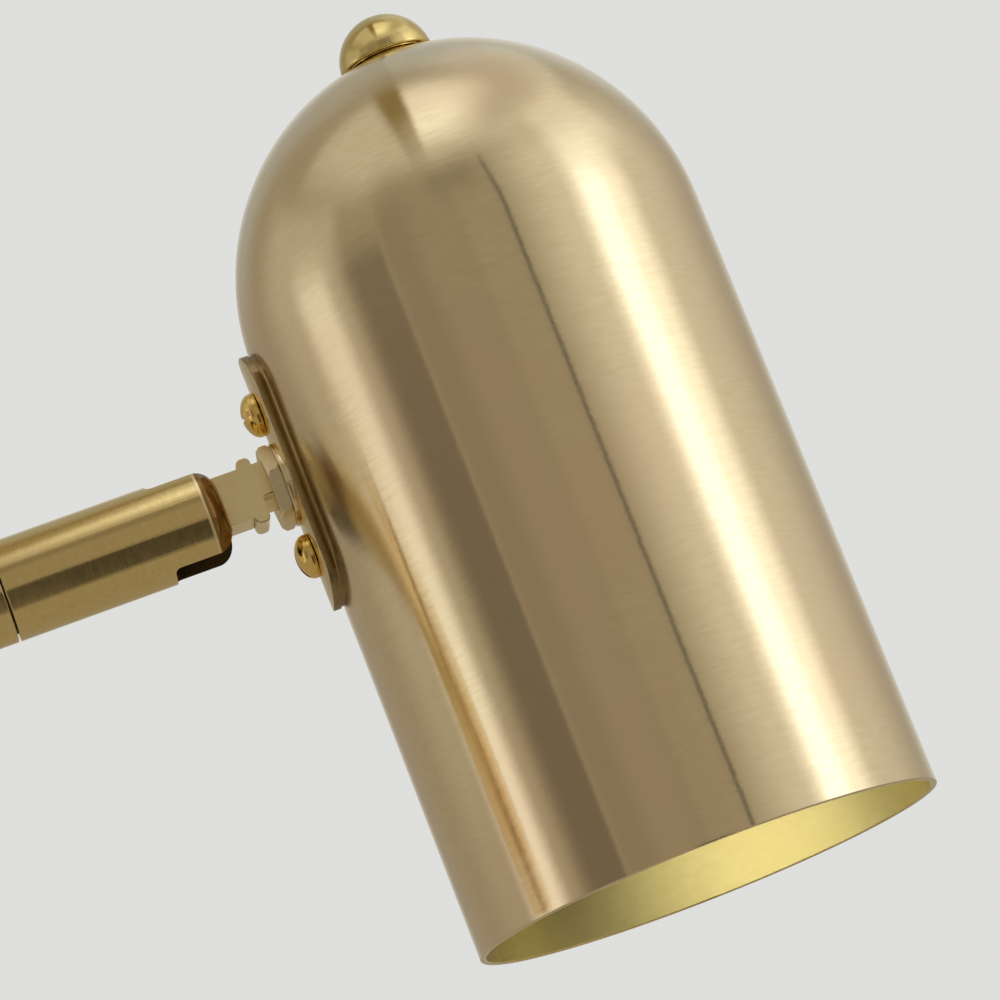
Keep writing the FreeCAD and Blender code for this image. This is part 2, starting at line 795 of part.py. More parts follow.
def make_wall_fixings():
    studs = []
    cap_nuts = []
    for side in (-1, 1):
        foot = Vector(side * stud_spacing / 2, 0, 0)
        tip = foot - along_y * stud_reach
        stud = rod(stud_diameter, foot, tip)
        seat = foot - along_y * canopy_depth
        top = seat - along_y * (cap_nut_height - cap_nut_diameter / 2)
        nut = rod(cap_nut_diameter, seat, top)
        nut = nut.fuse(dome_solid(cap_nut_diameter / 2, cap_nut_diameter / 2, top, along_y * -1))
        studs.append(stud)
        cap_nuts.append(nut.cut(stud).removeSplitter())
    seat = Vector(ground_screw_x, -crossbar_thick, 0)
    ground = rod(stud_diameter, Vector(ground_screw_x, 0, 0), seat)
    top = seat - along_y * ground_screw_head_height
    ground = ground.fuse(rounded_rod(ground_screw_head, seat, top, 0, ground_screw_edge))
    slot = block(
        (ground_screw_x - ground_screw_head, ground_screw_x + ground_screw_head),
        (top.y - past, top.y + ground_screw_slot_depth),
        (-ground_screw_slot_width / 2, ground_screw_slot_width / 2),
    )
    return {
        "canopy_studs": Part.makeCompound(studs),
        "canopy_cap_nuts": Part.makeCompound(cap_nuts),
        "ground_screw": ground.cut(slot),
    }


def make_terminal_block():
    front_y = -crossbar_thick - terminal_depth
    top_z = terminal_bottom_z + terminal_height
    block_body = block(
        (-terminal_width / 2, terminal_width / 2),
        (front_y, -crossbar_thick),
        (terminal_bottom_z, top_z),
    )
    screws = []
    for index in (-1, 0, 1):
        x = index * terminal_pitch
        way_y = front_y + terminal_depth / 2
        bore = rod(terminal_hole, Vector(x, way_y, terminal_bottom_z), Vector(x, way_y, top_z))
        screw_z = (terminal_bottom_z + top_z) / 2
        screw_top = Vector(x, front_y + terminal_screw_sunk, screw_z)
        screw_end = screw_top + along_y * terminal_screw_length
        well = rod(terminal_screw_diameter, Vector(x, front_y, screw_z), screw_end)
        block_body = block_body.cut(bore).cut(well)
        screws.append(rod(terminal_screw_diameter, screw_top, screw_end))
    return {"terminal_block": block_body, "terminal_screws": Part.makeCompound(screws)}


def make_stem():
    front = Vector(0, -canopy_depth, 0)
    collar_end = front - along_y * stem_collar_thick
    hub = Vector(0, hub_y, 0)
    floor = hub + along_y * (barrel_diameter / 2 - spigot_depth)
    inner_end = front + along_y * stem_spigot
    bar = rod(tube_outer, collar_end, hub).cut(barrel_zone(hub_y, 0))
    collar = rounded_rod(stem_collar_diameter, front, collar_end, 0, stem_collar_edge)
    stem = bar.fuse(collar).fuse(rod(nipple_diameter, inner_end, floor))
    stem = stem.cut(rod(wire_way, inner_end, hub)).removeSplitter()
    nut_start = front + along_y * canopy_wall
    nut_end = nut_start + along_y * stem_nut_thick
    nut = hexagon(stem_nut_flats, nut_start, nut_end).cut(rod(nipple_diameter, nut_start, nut_end))
    return {"wall_stem": stem, "stem_nut": nut}


def build():
    nodes = {
        "shade": make_shade(),
        "strap_screws": make_strap_screws(),
        "lampholder_bracket": make_bracket(),
    }
    nodes.update(make_strap_layers())
    nodes.update(make_strap_nuts())
    nodes["tongue"] = make_tongue()
    nodes.update(make_lampholder())
    nodes.update(make_holder_fixings())
    nodes.update(make_bulb())
    nodes.update(make_switch())
    nodes.update(make_knob())
    nodes["swivel_sleeve"] = make_sleeve()
    nodes["tilt_pin"] = make_tilt_pin()
    nodes["friction_washers"] = make_friction_washers()
    nodes.update(make_roll_joint())
    tube_end_y = shade_y + sleeve_wall_end + seam_gap
    nodes["outer_arm_tube"] = make_arm_tube(elbow_y, tube_end_y, 0, (elbow_y,))
    nodes["outer_arm_spigot"] = make_spigot(elbow_y, 0, -1)
    nodes["inner_arm_tube"] = make_arm_tube(hub_y, elbow_y, inner_arm_z, (hub_y, elbow_y))
    spigots = [make_spigot(hub_y, inner_arm_z, -1), make_spigot(elbow_y, inner_arm_z, 1)]
    nodes["inner_arm_spigots"] = Part.makeCompound(spigots)
    nodes.update(make_swing_joint("hub", hub_y, 0, inner_arm_z, 1, -1))
    nodes.update(make_swing_joint("elbow", elbow_y, inner_arm_z, 0, 1, -1))
    nodes.update(make_stem())
    nodes["wall_canopy"] = make_canopy()
    nodes["crossbar"] = make_crossbar()
    nodes.update(make_wall_fixings())
    nodes.update(make_terminal_block())
    return nodes


os.makedirs("parts", exist_ok=True)
for name, shape in build().items():
    shape.exportStep("parts/" + name + ".step")
    state = "valid" if shape.isValid() else "NOT VALID"
    print(name, len(shape.Solids), "solids,", round(shape.Volume), "mm3,", state)
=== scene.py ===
import json
import math

import bmesh
import bpy
from mathutils import Matrix, Vector


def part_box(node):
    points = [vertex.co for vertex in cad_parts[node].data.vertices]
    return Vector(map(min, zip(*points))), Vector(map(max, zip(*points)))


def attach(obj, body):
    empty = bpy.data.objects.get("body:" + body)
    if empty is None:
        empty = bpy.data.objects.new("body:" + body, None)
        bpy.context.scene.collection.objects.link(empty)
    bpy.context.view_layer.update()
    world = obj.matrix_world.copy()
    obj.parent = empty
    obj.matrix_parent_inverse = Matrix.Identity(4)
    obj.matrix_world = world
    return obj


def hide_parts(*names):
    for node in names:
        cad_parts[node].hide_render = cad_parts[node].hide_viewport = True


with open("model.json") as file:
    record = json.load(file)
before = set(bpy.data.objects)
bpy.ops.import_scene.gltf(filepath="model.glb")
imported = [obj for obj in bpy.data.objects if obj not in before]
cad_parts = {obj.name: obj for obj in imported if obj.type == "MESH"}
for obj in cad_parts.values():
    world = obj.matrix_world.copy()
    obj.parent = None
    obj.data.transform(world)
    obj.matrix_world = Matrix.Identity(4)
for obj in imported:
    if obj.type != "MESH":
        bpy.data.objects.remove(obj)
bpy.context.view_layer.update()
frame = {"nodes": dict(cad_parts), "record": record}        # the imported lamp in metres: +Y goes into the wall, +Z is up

mm = 0.001
up = Vector((0, 0, 1))
wallward = Vector((0, 1, 0))
record = frame["record"]
bodyOf = {node: body for body, nodes in record["behaviour"]["bodies"].items() for node in nodes}


def middle(node):
    low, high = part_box(node)
    return (low + high) / 2


shadeLow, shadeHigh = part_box("shade")
shadeCentre = Vector((0, (shadeLow.y + shadeHigh.y) / 2, 0))
shadeRadius = (shadeHigh.y - shadeLow.y) / 2
strapFoot = Vector((0, shadeHigh.y, middle("tongue").z))
hubAxis = Vector((0, middle("hub_pivot").y, 0))
elbowAxis = Vector((0, middle("elbow_pivot").y, 0))
innerArmAxis = Vector((0, 0, middle("inner_arm_tube").z))
armAxis = Vector((0, 0, 0))
tongueAxis = Vector((0, 0, middle("tongue").z))


def addObject(name, data):
    thing = bpy.data.objects.new(name, data)
    bpy.context.collection.objects.link(thing)
    return thing


# The camera stands where the photograph was taken from: to the left of the lamp, below it and rolled
camera = {
    "fromMouth": Vector((-698.65, 106.10, -77.06)) * mm,
    "right": Vector((-0.0560, -0.9315, -0.3593)),
    "up": Vector((-0.2336, -0.3377, 0.9118)),
    "lens": 166.6, "sensor": 36.0,
    "nearest": 0.01, "farthest": 50.0,
}


def placeCamera():
    data = bpy.data.cameras.new("photoCamera")
    data.lens = camera["lens"]
    data.sensor_width = camera["sensor"]
    data.clip_start = camera["nearest"]
    data.clip_end = camera["farthest"]
    view = addObject("photoCamera", data)
    right = camera["right"].normalized()
    back = right.cross(camera["up"]).normalized()
    turn = Matrix((right, back.cross(right), back)).transposed().to_4x4()
    mouth = Vector((0, shadeCentre.y, shadeLow.z))
    view.matrix_world = Matrix.Translation(mouth + camera["fromMouth"]) @ turn
    bpy.context.scene.camera = view


placeCamera()
print("camera placed")


# Shader building blocks

def addNode(tree, kind, inputs=(), **settings):
    node = tree.nodes.new(kind)
    for key, value in settings.items():
        setattr(node, key, value)
    for key, value in dict(inputs).items():
        if isinstance(value, bpy.types.NodeSocket):
            tree.links.new(value, node.inputs[key])
        else:
            node.inputs[key].default_value = value
    return node


def calculate(tree, operation, first, second=0.0):
    return addNode(tree, "ShaderNodeMath", {0: first, 1: second}, operation=operation).outputs[0]


def vectorMath(tree, operation, *vectors, **scaling):
    inputs = {**dict(enumerate(vectors)), **scaling}
    node = addNode(tree, "ShaderNodeVectorMath", inputs, operation=operation)
    return node.outputs["Value" if operation in ("LENGTH", "DISTANCE") else "Vector"]


def remap(tree, value, fromLow, fromHigh, toLow, toHigh, smooth=False):
    kind = "SMOOTHSTEP" if smooth else "LINEAR"
    inputs = {"Value": value, "From Min": fromLow, "From Max": fromHigh, "To Min": toLow, "To Max": toHigh}
    return addNode(tree, "ShaderNodeMapRange", inputs, interpolation_type=kind).outputs["Result"]


def noise(tree, place, scale, detail=2.0, roughness=0.5):
    inputs = {"Vector": place, "Scale": scale, "Detail": detail, "Roughness": roughness}
    return addNode(tree, "ShaderNodeTexNoise", inputs).outputs["Fac"]


def mixColours(tree, factor, first, second):
    first, second = (colour if isinstance(colour, bpy.types.NodeSocket) else (*colour, 1.0)
                     for colour in (first, second))
    return addNode(tree, "ShaderNodeMix", {0: factor, 6: first, 7: second}, data_type="RGBA").outputs[2]


def objectPlace(tree):
    return addNode(tree, "ShaderNodeTexCoord").outputs["Object"]


def newGroup(name, inputs, outputs):
    group = bpy.data.node_groups.new(name, "ShaderNodeTree")
    for direction, labels in (("INPUT", inputs), ("OUTPUT", outputs)):
        for label in labels:
            kind = "NodeSocketVector" if label == "Position" else "NodeSocketFloat"
            group.interface.new_socket(label, in_out=direction, socket_type=kind)
    return group, group.nodes.new("NodeGroupInput").outputs, group.nodes.new("NodeGroupOutput").inputs


def putOut(group, result, values):
    for label, value in values.items():
        group.links.new(value, result[label])


def startMaterial(name):
    material = bpy.data.materials.new(name)
    material.use_nodes = True
    material.node_tree.nodes.clear()
    return material, material.node_tree


def showShader(tree, shader, kind="ShaderNodeOutputMaterial"):
    tree.links.new(shader.outputs[0], tree.nodes.new(kind).inputs["Surface"])


# Lines left by brushing on a lathe: they run round the local Z axis
brushing = {
    "lineDetail": 3.0, "lineRoughness": 0.65,
    "scratchStretch": (0.35, 0.35, 1.7), "scratchDetail": 1.0, "scratchFade": (0.66, 0.80),
    "wobbleStretch": (1.8, 1.8, 0.42), "wobbleDetail": 2.0,
    "cloudDetail": 3.0,
}


def makeTurnedGrain():
    group, given, result = newGroup(
        "turnedGrain", ("Position", "Lines Round", "Lines Along", "Cloud Scale"),
        ("Lines", "Scratches", "Clouds", "Wobble"))
    split = addNode(group, "ShaderNodeSeparateXYZ", {0: given["Position"]}).outputs
    flat = addNode(group, "ShaderNodeCombineXYZ", {"X": split["X"], "Y": split["Y"]}).outputs[0]
    radius = vectorMath(group, "LENGTH", flat)
    around = vectorMath(group, "NORMALIZE", flat)
    ring = vectorMath(group, "SCALE", around, Scale=given["Lines Round"])
    ringSplit = addNode(group, "ShaderNodeSeparateXYZ", {0: ring}).outputs
    meridian = calculate(group, "SUBTRACT", split["Z"], radius)
    along = calculate(group, "MULTIPLY", meridian, given["Lines Along"])
    grain = addNode(group, "ShaderNodeCombineXYZ",
                    {"X": ringSplit["X"], "Y": ringSplit["Y"], "Z": along}).outputs[0]
    scratchPlace = vectorMath(group, "MULTIPLY", grain, brushing["scratchStretch"])
    scratches = noise(group, scratchPlace, 1.0, brushing["scratchDetail"])
    wobblePlace = vectorMath(group, "MULTIPLY", grain, brushing["wobbleStretch"])
    putOut(group, result, {
        "Lines": noise(group, grain, 1.0, brushing["lineDetail"], brushing["lineRoughness"]),
        "Scratches": remap(group, scratches, *brushing["scratchFade"], 0.0, 1.0, smooth=True),
        "Clouds": noise(group, given["Position"], given["Cloud Scale"], brushing["cloudDetail"]),
        "Wobble": noise(group, wobblePlace, 1.0, brushing["wobbleDetail"]),
    })
    return group


# Grain without a direction, for cast, plated, glazed and moulded surfaces
casting = {"grainDetail": 4.0, "grainRoughness": 0.6, "speckFade": (0.03, 0.10)}


def makeFineTexture():
    group, given, result = newGroup(
        "fineTexture", ("Position", "Grain Scale", "Cloud Scale"), ("Grain", "Clouds", "Specks"))
    place = given["Position"]
    dots = addNode(group, "ShaderNodeTexVoronoi", {"Vector": place, "Scale": given["Grain Scale"]})
    putOut(group, result, {
        "Grain": noise(group, place, given["Grain Scale"], casting["grainDetail"], casting["grainRoughness"]),
        "Clouds": noise(group, place, given["Cloud Scale"]),
        "Specks": remap(group, dots.outputs["Distance"], *casting["speckFade"], 1.0, 0.0, smooth=True),
    })
    return group


turnedGrain = makeTurnedGrain()
fineTexture = makeFineTexture()


# Metals and other surfaces. Colours are linear, grain and cloud scales are per metre, bumps in metres
satinBrass = {
    "colour": (0.86, 0.715, 0.435), "deepColour": (0.80, 0.645, 0.37), "blush": (0.85, 0.66, 0.405),
    "roughness": 0.14, "roughnessSpread": 0.03, "anisotropy": 0.92,
    "linesRound": 7.0, "linesAlong": 2400.0, "cloudScale": 26.0, "bump": 2e-6, "wobble": 1.0e-5,
}
shadeBrass = dict(satinBrass, hazeAt=strapFoot, hazeReach=(12 * mm, 36 * mm), haze=0.12)
tubeBrass = {
    "colour": (0.84, 0.655, 0.285), "deepColour": (0.76, 0.57, 0.22), "blush": (0.80, 0.58, 0.25),
    "roughness": 0.17, "roughnessSpread": 0.03, "anisotropy": 0.6,
    "linesRound": 4.0, "linesAlong": 2600.0, "cloudScale": 60.0, "bump": 2e-6, "wobble": 4e-6,
}
# The inside's colour is darkened to about half that of brass: painted shade for the inside of the shade,
# which keeps the two ends of the mouth dark
insideBrass = {
    "colour": (0.48, 0.405, 0.16), "deepColour": (0.43, 0.35, 0.12), "blush": (0.45, 0.375, 0.135),
    "metallic": 0.5, "roughness": 0.36, "roughnessSpread": 0.06, "anisotropy": 0.85,
    "linesRound": 9.0, "linesAlong": 1500.0, "cloudScale": 60.0, "bump": 3e-6, "wobble": 8e-6,
}
polishedBrass = {
    "colour": (0.88, 0.64, 0.24), "deepColour": (0.82, 0.55, 0.17), "blush": (0.84, 0.56, 0.17),
    "roughness": 0.12, "roughnessSpread": 0.03, "anisotropy": 0.0,
    "linesRound": 4.0, "linesAlong": 4200.0, "cloudScale": 90.0, "bump": 1.2e-6, "wobble": 3e-6,
}
screwBrass = dict(polishedBrass, colour=(0.95, 0.70, 0.24), deepColour=(0.88, 0.57, 0.14),
                  blush=(0.90, 0.60, 0.15), roughness=0.17, wobble=1.1e-5)
knobBrass = dict(polishedBrass, colour=(0.84, 0.68, 0.29), deepColour=(0.77, 0.59, 0.21),
                 blush=(0.78, 0.60, 0.22))
# The sleeve's polished end: its colour is darkened as a painted dark reflection
armEndPaintedDarkBrass = dict(polishedBrass, colour=(0.40, 0.25, 0.09), deepColour=(0.21, 0.11, 0.035),
                   blush=(0.28, 0.15, 0.045), wobble=1.5e-5)
agedBrass = {
    "colour": (0.86, 0.68, 0.36), "deepColour": (0.74, 0.56, 0.26),
    "roughness": 0.36, "roughnessSpread": 0.06,
    "grainScale": 1400.0, "cloudScale": 200.0, "bump": 1.2e-6,
}
zincSteel = {
    "colour": (0.58, 0.58, 0.57), "deepColour": (0.42, 0.42, 0.41),
    "roughness": 0.38, "roughnessSpread": 0.10,
    "grainScale": 1800.0, "cloudScale": 180.0, "bump": 5e-6,
}
finishes = {
    "strapFace": dict(agedBrass, roughness=0.20, roughnessSpread=0.04),
    "nutFace": dict(agedBrass, colour=(0.95, 0.84, 0.56), deepColour=(0.86, 0.72, 0.44), roughness=0.42),
    "nutBrass": dict(agedBrass, colour=(0.88, 0.74, 0.46), deepColour=(0.74, 0.58, 0.31),
                     roughness=0.21, roughnessSpread=0.05, bump=3e-6),
    "brightPlate": dict(agedBrass, colour=(0.97, 0.80, 0.43), deepColour=(0.92, 0.74, 0.38),
                        roughness=0.34, bump=6e-7),
    # Darker edges for the strap and its saddle, and painted shade along the tongue's lower edges
    "darkEdgeAndPaintedShade": dict(agedBrass, colour=(0.46, 0.35, 0.18), deepColour=(0.24, 0.17, 0.08),
                          roughness=0.34, stretch=(1.0, 1.0, 0.35), bump=6e-6),
    # Painted shade for the inside of the sleeve's slot
    "paintedShadeSlot": dict(agedBrass, colour=(0.16, 0.11, 0.045), deepColour=(0.09, 0.06, 0.025), roughness=0.5),
    "plainBrass": dict(agedBrass, colour=(0.80, 0.60, 0.28), deepColour=(0.66, 0.46, 0.19), roughness=0.26),
    "zincSteel": zincSteel,
    "springSteel": dict(zincSteel, colour=(0.30, 0.31, 0.33), deepColour=(0.16, 0.17, 0.20), roughness=0.28),
    "nickelPlate": dict(zincSteel, colour=(0.70, 0.67, 0.62), deepColour=(0.58, 0.55, 0.50), roughness=0.22),
    "tinnedMetal": dict(zincSteel, colour=(0.62, 0.62, 0.62), roughness=0.42),
    "greenScrew": {
        "colour": (0.04, 0.30, 0.09), "deepColour": (0.02, 0.20, 0.05), "metallic": 0.3,
        "roughness": 0.35, "roughnessSpread": 0.08,
        "grainScale": 900.0, "cloudScale": 200.0, "bump": 4e-6,
    },
    "slipPlastic": {
        "colour": (0.055, 0.045, 0.036), "deepColour": (0.034, 0.028, 0.023), "metallic": 0.0,
        "roughness": 0.50, "roughnessSpread": 0.06,
        "grainScale": 1500.0, "cloudScale": 120.0, "bump": 3e-6,
    },
    "whitePorcelain": {
        "colour": (0.80, 0.78, 0.72), "deepColour": (0.74, 0.71, 0.64), "metallic": 0.0,
        "roughness": 0.16, "roughnessSpread": 0.05, "coat": 0.5,
        "grainScale": 500.0, "cloudScale": 70.0, "bump": 8e-6, "specks": 0.3,
    },
    "blackPhenolic": {
        "colour": (0.028, 0.024, 0.021), "deepColour": (0.018, 0.016, 0.014), "metallic": 0.0,
        "roughness": 0.38, "roughnessSpread": 0.08,
        "grainScale": 1400.0, "cloudScale": 150.0, "bump": 6e-6,
    },
    "ivoryPlastic": {
        "colour": (0.68, 0.63, 0.50), "deepColour": (0.60, 0.55, 0.42), "metallic": 0.0,
        "roughness": 0.40, "roughnessSpread": 0.06, "subsurface": 0.1,
        "grainScale": 1300.0, "cloudScale": 120.0, "bump": 5e-6,
    },
    "frostedGlass": {
        "colour": (0.92, 0.91, 0.88), "deepColour": (0.86, 0.85, 0.81), "metallic": 0.0,
        "roughness": 0.50, "roughnessSpread": 0.06, "transmission": 0.55,
        "grainScale": 1600.0, "cloudScale": 90.0, "bump": 6e-6,
    },
}

# How a mask goes into a finish: the mask's two limits, then what they come out as
turnedMix = {
    "lineShade": (0.35, 0.70, 0.0, 0.40), "wobbleShade": (0.35, 0.65, 0.0, 0.45),
    "blushPatches": (0.44, 0.62, 0.0, 0.8), "roughnessLimits": (0.3, 0.8),
    "scratchRoughness": 0.3, "scratchDepth": 0.5,
    "acrossLines": 0.25,    # a quarter turn: highlights stretch across the brushed lines
}
textureMix = {
    "grainShade": (0.35, 0.70, 0.0, 0.45), "cloudShade": (0.35, 0.65, 0.0, 0.5),
    "roughnessLimits": (0.3, 0.7), "subsurfaceScale": 2 * mm,
}


def roughnessRange(look):
    return look["roughness"] - look["roughnessSpread"], look["roughness"] + look["roughnessSpread"]


def turnedMetal(name, look, centre, axis):
    material, tree = startMaterial(name)
    place = objectPlace(tree)
    turn = up.rotation_difference(axis).inverted()
    shift = -(turn.to_matrix() @ Vector(centre))
    mapping = addNode(tree, "ShaderNodeMapping",
                      {"Vector": place, "Rotation": turn.to_euler(), "Location": shift}, vector_type="POINT")
    inputs = {"Position": mapping.outputs[0], "Lines Round": look["linesRound"],
              "Lines Along": look["linesAlong"], "Cloud Scale": look["cloudScale"]}
    grain = addNode(tree, "ShaderNodeGroup", inputs, node_tree=turnedGrain).outputs
    lines = grain["Lines"]
    scratches = grain["Scratches"]
    wobble = grain["Wobble"]
    depth = calculate(tree, "ADD", remap(tree, lines, *turnedMix["lineShade"]),
                      remap(tree, wobble, *turnedMix["wobbleShade"]))
    patches = remap(tree, grain["Clouds"], *turnedMix["blushPatches"], smooth=True)
    colour = mixColours(tree, depth, look["colour"], look["deepColour"])
    colour = mixColours(tree, patches, colour, look["blush"])
    scratched = calculate(tree, "MULTIPLY", scratches, turnedMix["scratchRoughness"])
    dull = calculate(tree, "ADD", lines, scratched)
    rough = remap(tree, dull, *turnedMix["roughnessLimits"], *roughnessRange(look))
    if "hazeAt" in look:    # a spot that the brushing wheel couldn't reach
        away = vectorMath(tree, "DISTANCE", place, tuple(look["hazeAt"]))
        haze = remap(tree, away, *look["hazeReach"], look["haze"], 0.0, smooth=True)
        rough = calculate(tree, "ADD", rough, haze)
    cuts = calculate(tree, "MULTIPLY", scratches, turnedMix["scratchDepth"])
    fine = calculate(tree, "SUBTRACT", lines, cuts)
    height = calculate(tree, "ADD", calculate(tree, "MULTIPLY", fine, look["bump"] / look["wobble"]), wobble)
    bump = addNode(tree, "ShaderNodeBump", {"Strength": 1.0, "Distance": look["wobble"], "Height": height})
    shader = addNode(tree, "ShaderNodeBsdfPrincipled", {
        "Base Color": colour, "Roughness": rough, "Normal": bump.outputs[0],
        "Metallic": look.get("metallic", 1.0), "Anisotropic": look["anisotropy"],
    })
    if look["anisotropy"]:
        shader.inputs["Anisotropic Rotation"].default_value = turnedMix["acrossLines"]
        letter = max("XYZ", key=lambda label: abs(axis["XYZ".index(label)]))
        tangent = addNode(tree, "ShaderNodeTangent", direction_type="RADIAL", axis=letter)
        tree.links.new(tangent.outputs[0], shader.inputs["Tangent"])
    showShader(tree, shader)
    return material


def texturedFinish(name, look):
    material, tree = startMaterial(name)
    stretch = look.get("stretch", (1, 1, 1))
    mapping = addNode(tree, "ShaderNodeMapping", {"Vector": objectPlace(tree), "Scale": stretch},
                      vector_type="POINT")
    inputs = {"Position": mapping.outputs[0], "Grain Scale": look["grainScale"],
              "Cloud Scale": look["cloudScale"]}
    texture = addNode(tree, "ShaderNodeGroup", inputs, node_tree=fineTexture).outputs
    grain = texture["Grain"]
    clouds = texture["Clouds"]
    depth = calculate(tree, "ADD", remap(tree, grain, *textureMix["grainShade"]),
                      remap(tree, clouds, *textureMix["cloudShade"]))
    specks = calculate(tree, "MULTIPLY", texture["Specks"], look.get("specks", 0.0))
    height = calculate(tree, "ADD", grain, specks)
    bump = addNode(tree, "ShaderNodeBump", {"Strength": 1.0, "Distance": look["bump"], "Height": height})
    shader = addNode(tree, "ShaderNodeBsdfPrincipled", {
        "Base Color": mixColours(tree, depth, look["colour"], look["deepColour"]),
        "Roughness": remap(tree, clouds, *textureMix["roughnessLimits"], *roughnessRange(look)),
        "Normal": bump.outputs[0],
        "Metallic": look.get("metallic", 1.0),
        "Coat Weight": look.get("coat", 0.0),
        "Transmission Weight": look.get("transmission", 0.0),
        "Subsurface Weight": look.get("subsurface", 0.0),
        "Subsurface Scale": textureMix["subsurfaceScale"],
    })
    showShader(tree, shader)
    return material


plain = {name: texturedFinish(name, look) for name, look in finishes.items()}
turned = {
    "shade": turnedMetal("satinBrassShade", shadeBrass, shadeCentre, up),
    "shadeInside": turnedMetal("insideBrassShade", insideBrass, shadeCentre, up),
    "knob": turnedMetal("polishedBrassKnob", knobBrass, shadeCentre, up),
    "outerArm": turnedMetal("satinBrassOuterArm", tubeBrass, armAxis, wallward),
    "innerArm": turnedMetal("satinBrassInnerArm", tubeBrass, innerArmAxis, wallward),
    "hub": turnedMetal("satinBrassHub", tubeBrass, hubAxis, up),
    "elbow": turnedMetal("satinBrassElbow", tubeBrass, elbowAxis, up),
    "canopy": turnedMetal("satinBrassCanopy", satinBrass, armAxis, wallward),
    "strapHardware": turnedMetal("polishedBrassHardware", screwBrass, tongueAxis, wallward),
    "armEnd": turnedMetal("polishedBrassArmEnd", armEndPaintedDarkBrass, armAxis, wallward),
}
print("materials ready")


# Mesh building blocks. Angles are in degrees, distances in metres
meshing = {
    "smoothBelow": 32.0, "sharpAbove": 28.0, "flatBelow": 0.4,
    "mergeWithin": 2e-6, "seamWithin": 1e-7, "bevelSegments": 2,
}


def finishPiece(mesh, name, materials, node, flatFaces=True):
    # Makes the mesh a piece that stands for a CAD node, on the node's body, and hides the node
    data = bpy.data.meshes.new(name)
    mesh.to_mesh(data)
    mesh.free()
    for material in materials:
        data.materials.append(material)
    data.shade_smooth()
    data.set_sharp_from_angle(angle=math.radians(meshing["smoothBelow"]))
    piece = addObject(name, data)
    if flatFaces:
        shading = piece.modifiers.new("flatFacesStayFlat", "WEIGHTED_NORMAL")
        shading.keep_sharp = True
    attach(piece, bodyOf[node])
    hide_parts(node)


def roundedOutline(corners, arcSteps):
    # Corners are (radius, along, rounding); a rounding makes the corner an arc
    points = []
    for index, (radius, along, rounding) in enumerate(corners):
        here = Vector((radius, along))
        if not rounding:
            points.append(here)
            continue
        before = (Vector(corners[index - 1][:2]) - here).normalized()
        after = (Vector(corners[(index + 1) % len(corners)][:2]) - here).normalized()
        halfAngle = before.angle(after) / 2
        centre = here + (before + after).normalized() * rounding / math.sin(halfAngle)
        start = here + before * rounding / math.tan(halfAngle) - centre
        sweep = start.angle_signed(here + after * rounding / math.tan(halfAngle) - centre)
        for step in range(arcSteps + 1):
            points.append(centre + Matrix.Rotation(-sweep * step / arcSteps, 2) @ start)
    return [tuple(point) for point in points]


def lathe(outline, centre, steps, axis=up, closed=True, reshape=None):
    # Spins an outline of (radius, along) points round the axis
    mesh = bmesh.new()
    verts = [mesh.verts.new((point[0], 0, point[1])) for point in outline]
    pairs = list(zip(verts, verts[1:])) + ([(verts[-1], verts[0])] if closed else [])
    edges = [mesh.edges.new(pair) for pair in pairs]
    bmesh.ops.spin(mesh, geom=verts + edges, cent=(0, 0, 0), axis=up, angle=2 * math.pi, steps=steps,
                   use_merge=True)
    bmesh.ops.remove_doubles(mesh, verts=mesh.verts, dist=meshing["seamWithin"])
    bmesh.ops.recalc_face_normals(mesh, faces=mesh.faces)
    if reshape:
        reshape(mesh)
    turn = up.rotation_difference(axis).to_matrix().to_4x4()
    bmesh.ops.transform(mesh, matrix=Matrix.Translation(centre) @ turn, verts=mesh.verts)
    return mesh


def isSharp(edge):
    return len(edge.link_faces) == 2 and edge.calc_face_angle() > math.radians(meshing["sharpAbove"])


def bevelEdges(mesh, edges, width, segments=meshing["bevelSegments"], clamp=True):
    return bmesh.ops.bevel(mesh, geom=edges, offset=width, segments=segments, profile=0.5, affect="EDGES",
                           clamp_overlap=clamp, material=-1)["faces"]


def refined(node, bevelWidth=0.0):
    # A merged copy of a CAD node, with its sharp edges broken where a width is given
    mesh = bmesh.new()
    mesh.from_mesh(frame["nodes"][node].data)
    bmesh.ops.remove_doubles(mesh, verts=mesh.verts, dist=meshing["mergeWithin"])
    bmesh.ops.dissolve_limit(mesh, angle_limit=math.radians(meshing["flatBelow"]), verts=mesh.verts,
                             edges=mesh.edges)
    if bevelWidth:
        bevelEdges(mesh, [edge for edge in mesh.edges if isSharp(edge)], bevelWidth)
    return mesh


def edgeMiddle(edge):
    return (edge.verts[0].co + edge.verts[1].co) / 2


# Shade
shade = {
    "wall": 1.0 * mm, "straight": 100.0 * mm, "domeHeight": 38.8 * mm, "topHole": 5.0 * mm,
    "rimRounding": 0.22 * mm, "steps": 224, "domeSteps": 40, "rimSteps": 3,
    "brightRim": 0.1 * mm,    # the rim's bright line stops this far from the outer surface
    "facingUp": 0.2,
}


def domeArc(radius, height, baseZ, holeRadius, steps):
    # From the hole at the top down to the straight side
    start = math.asin(holeRadius / radius)
    angles = [start + (math.pi / 2 - start) * step / steps for step in range(steps + 1)]
    return [(radius * math.sin(angle), baseZ + height * math.cos(angle)) for angle in angles]


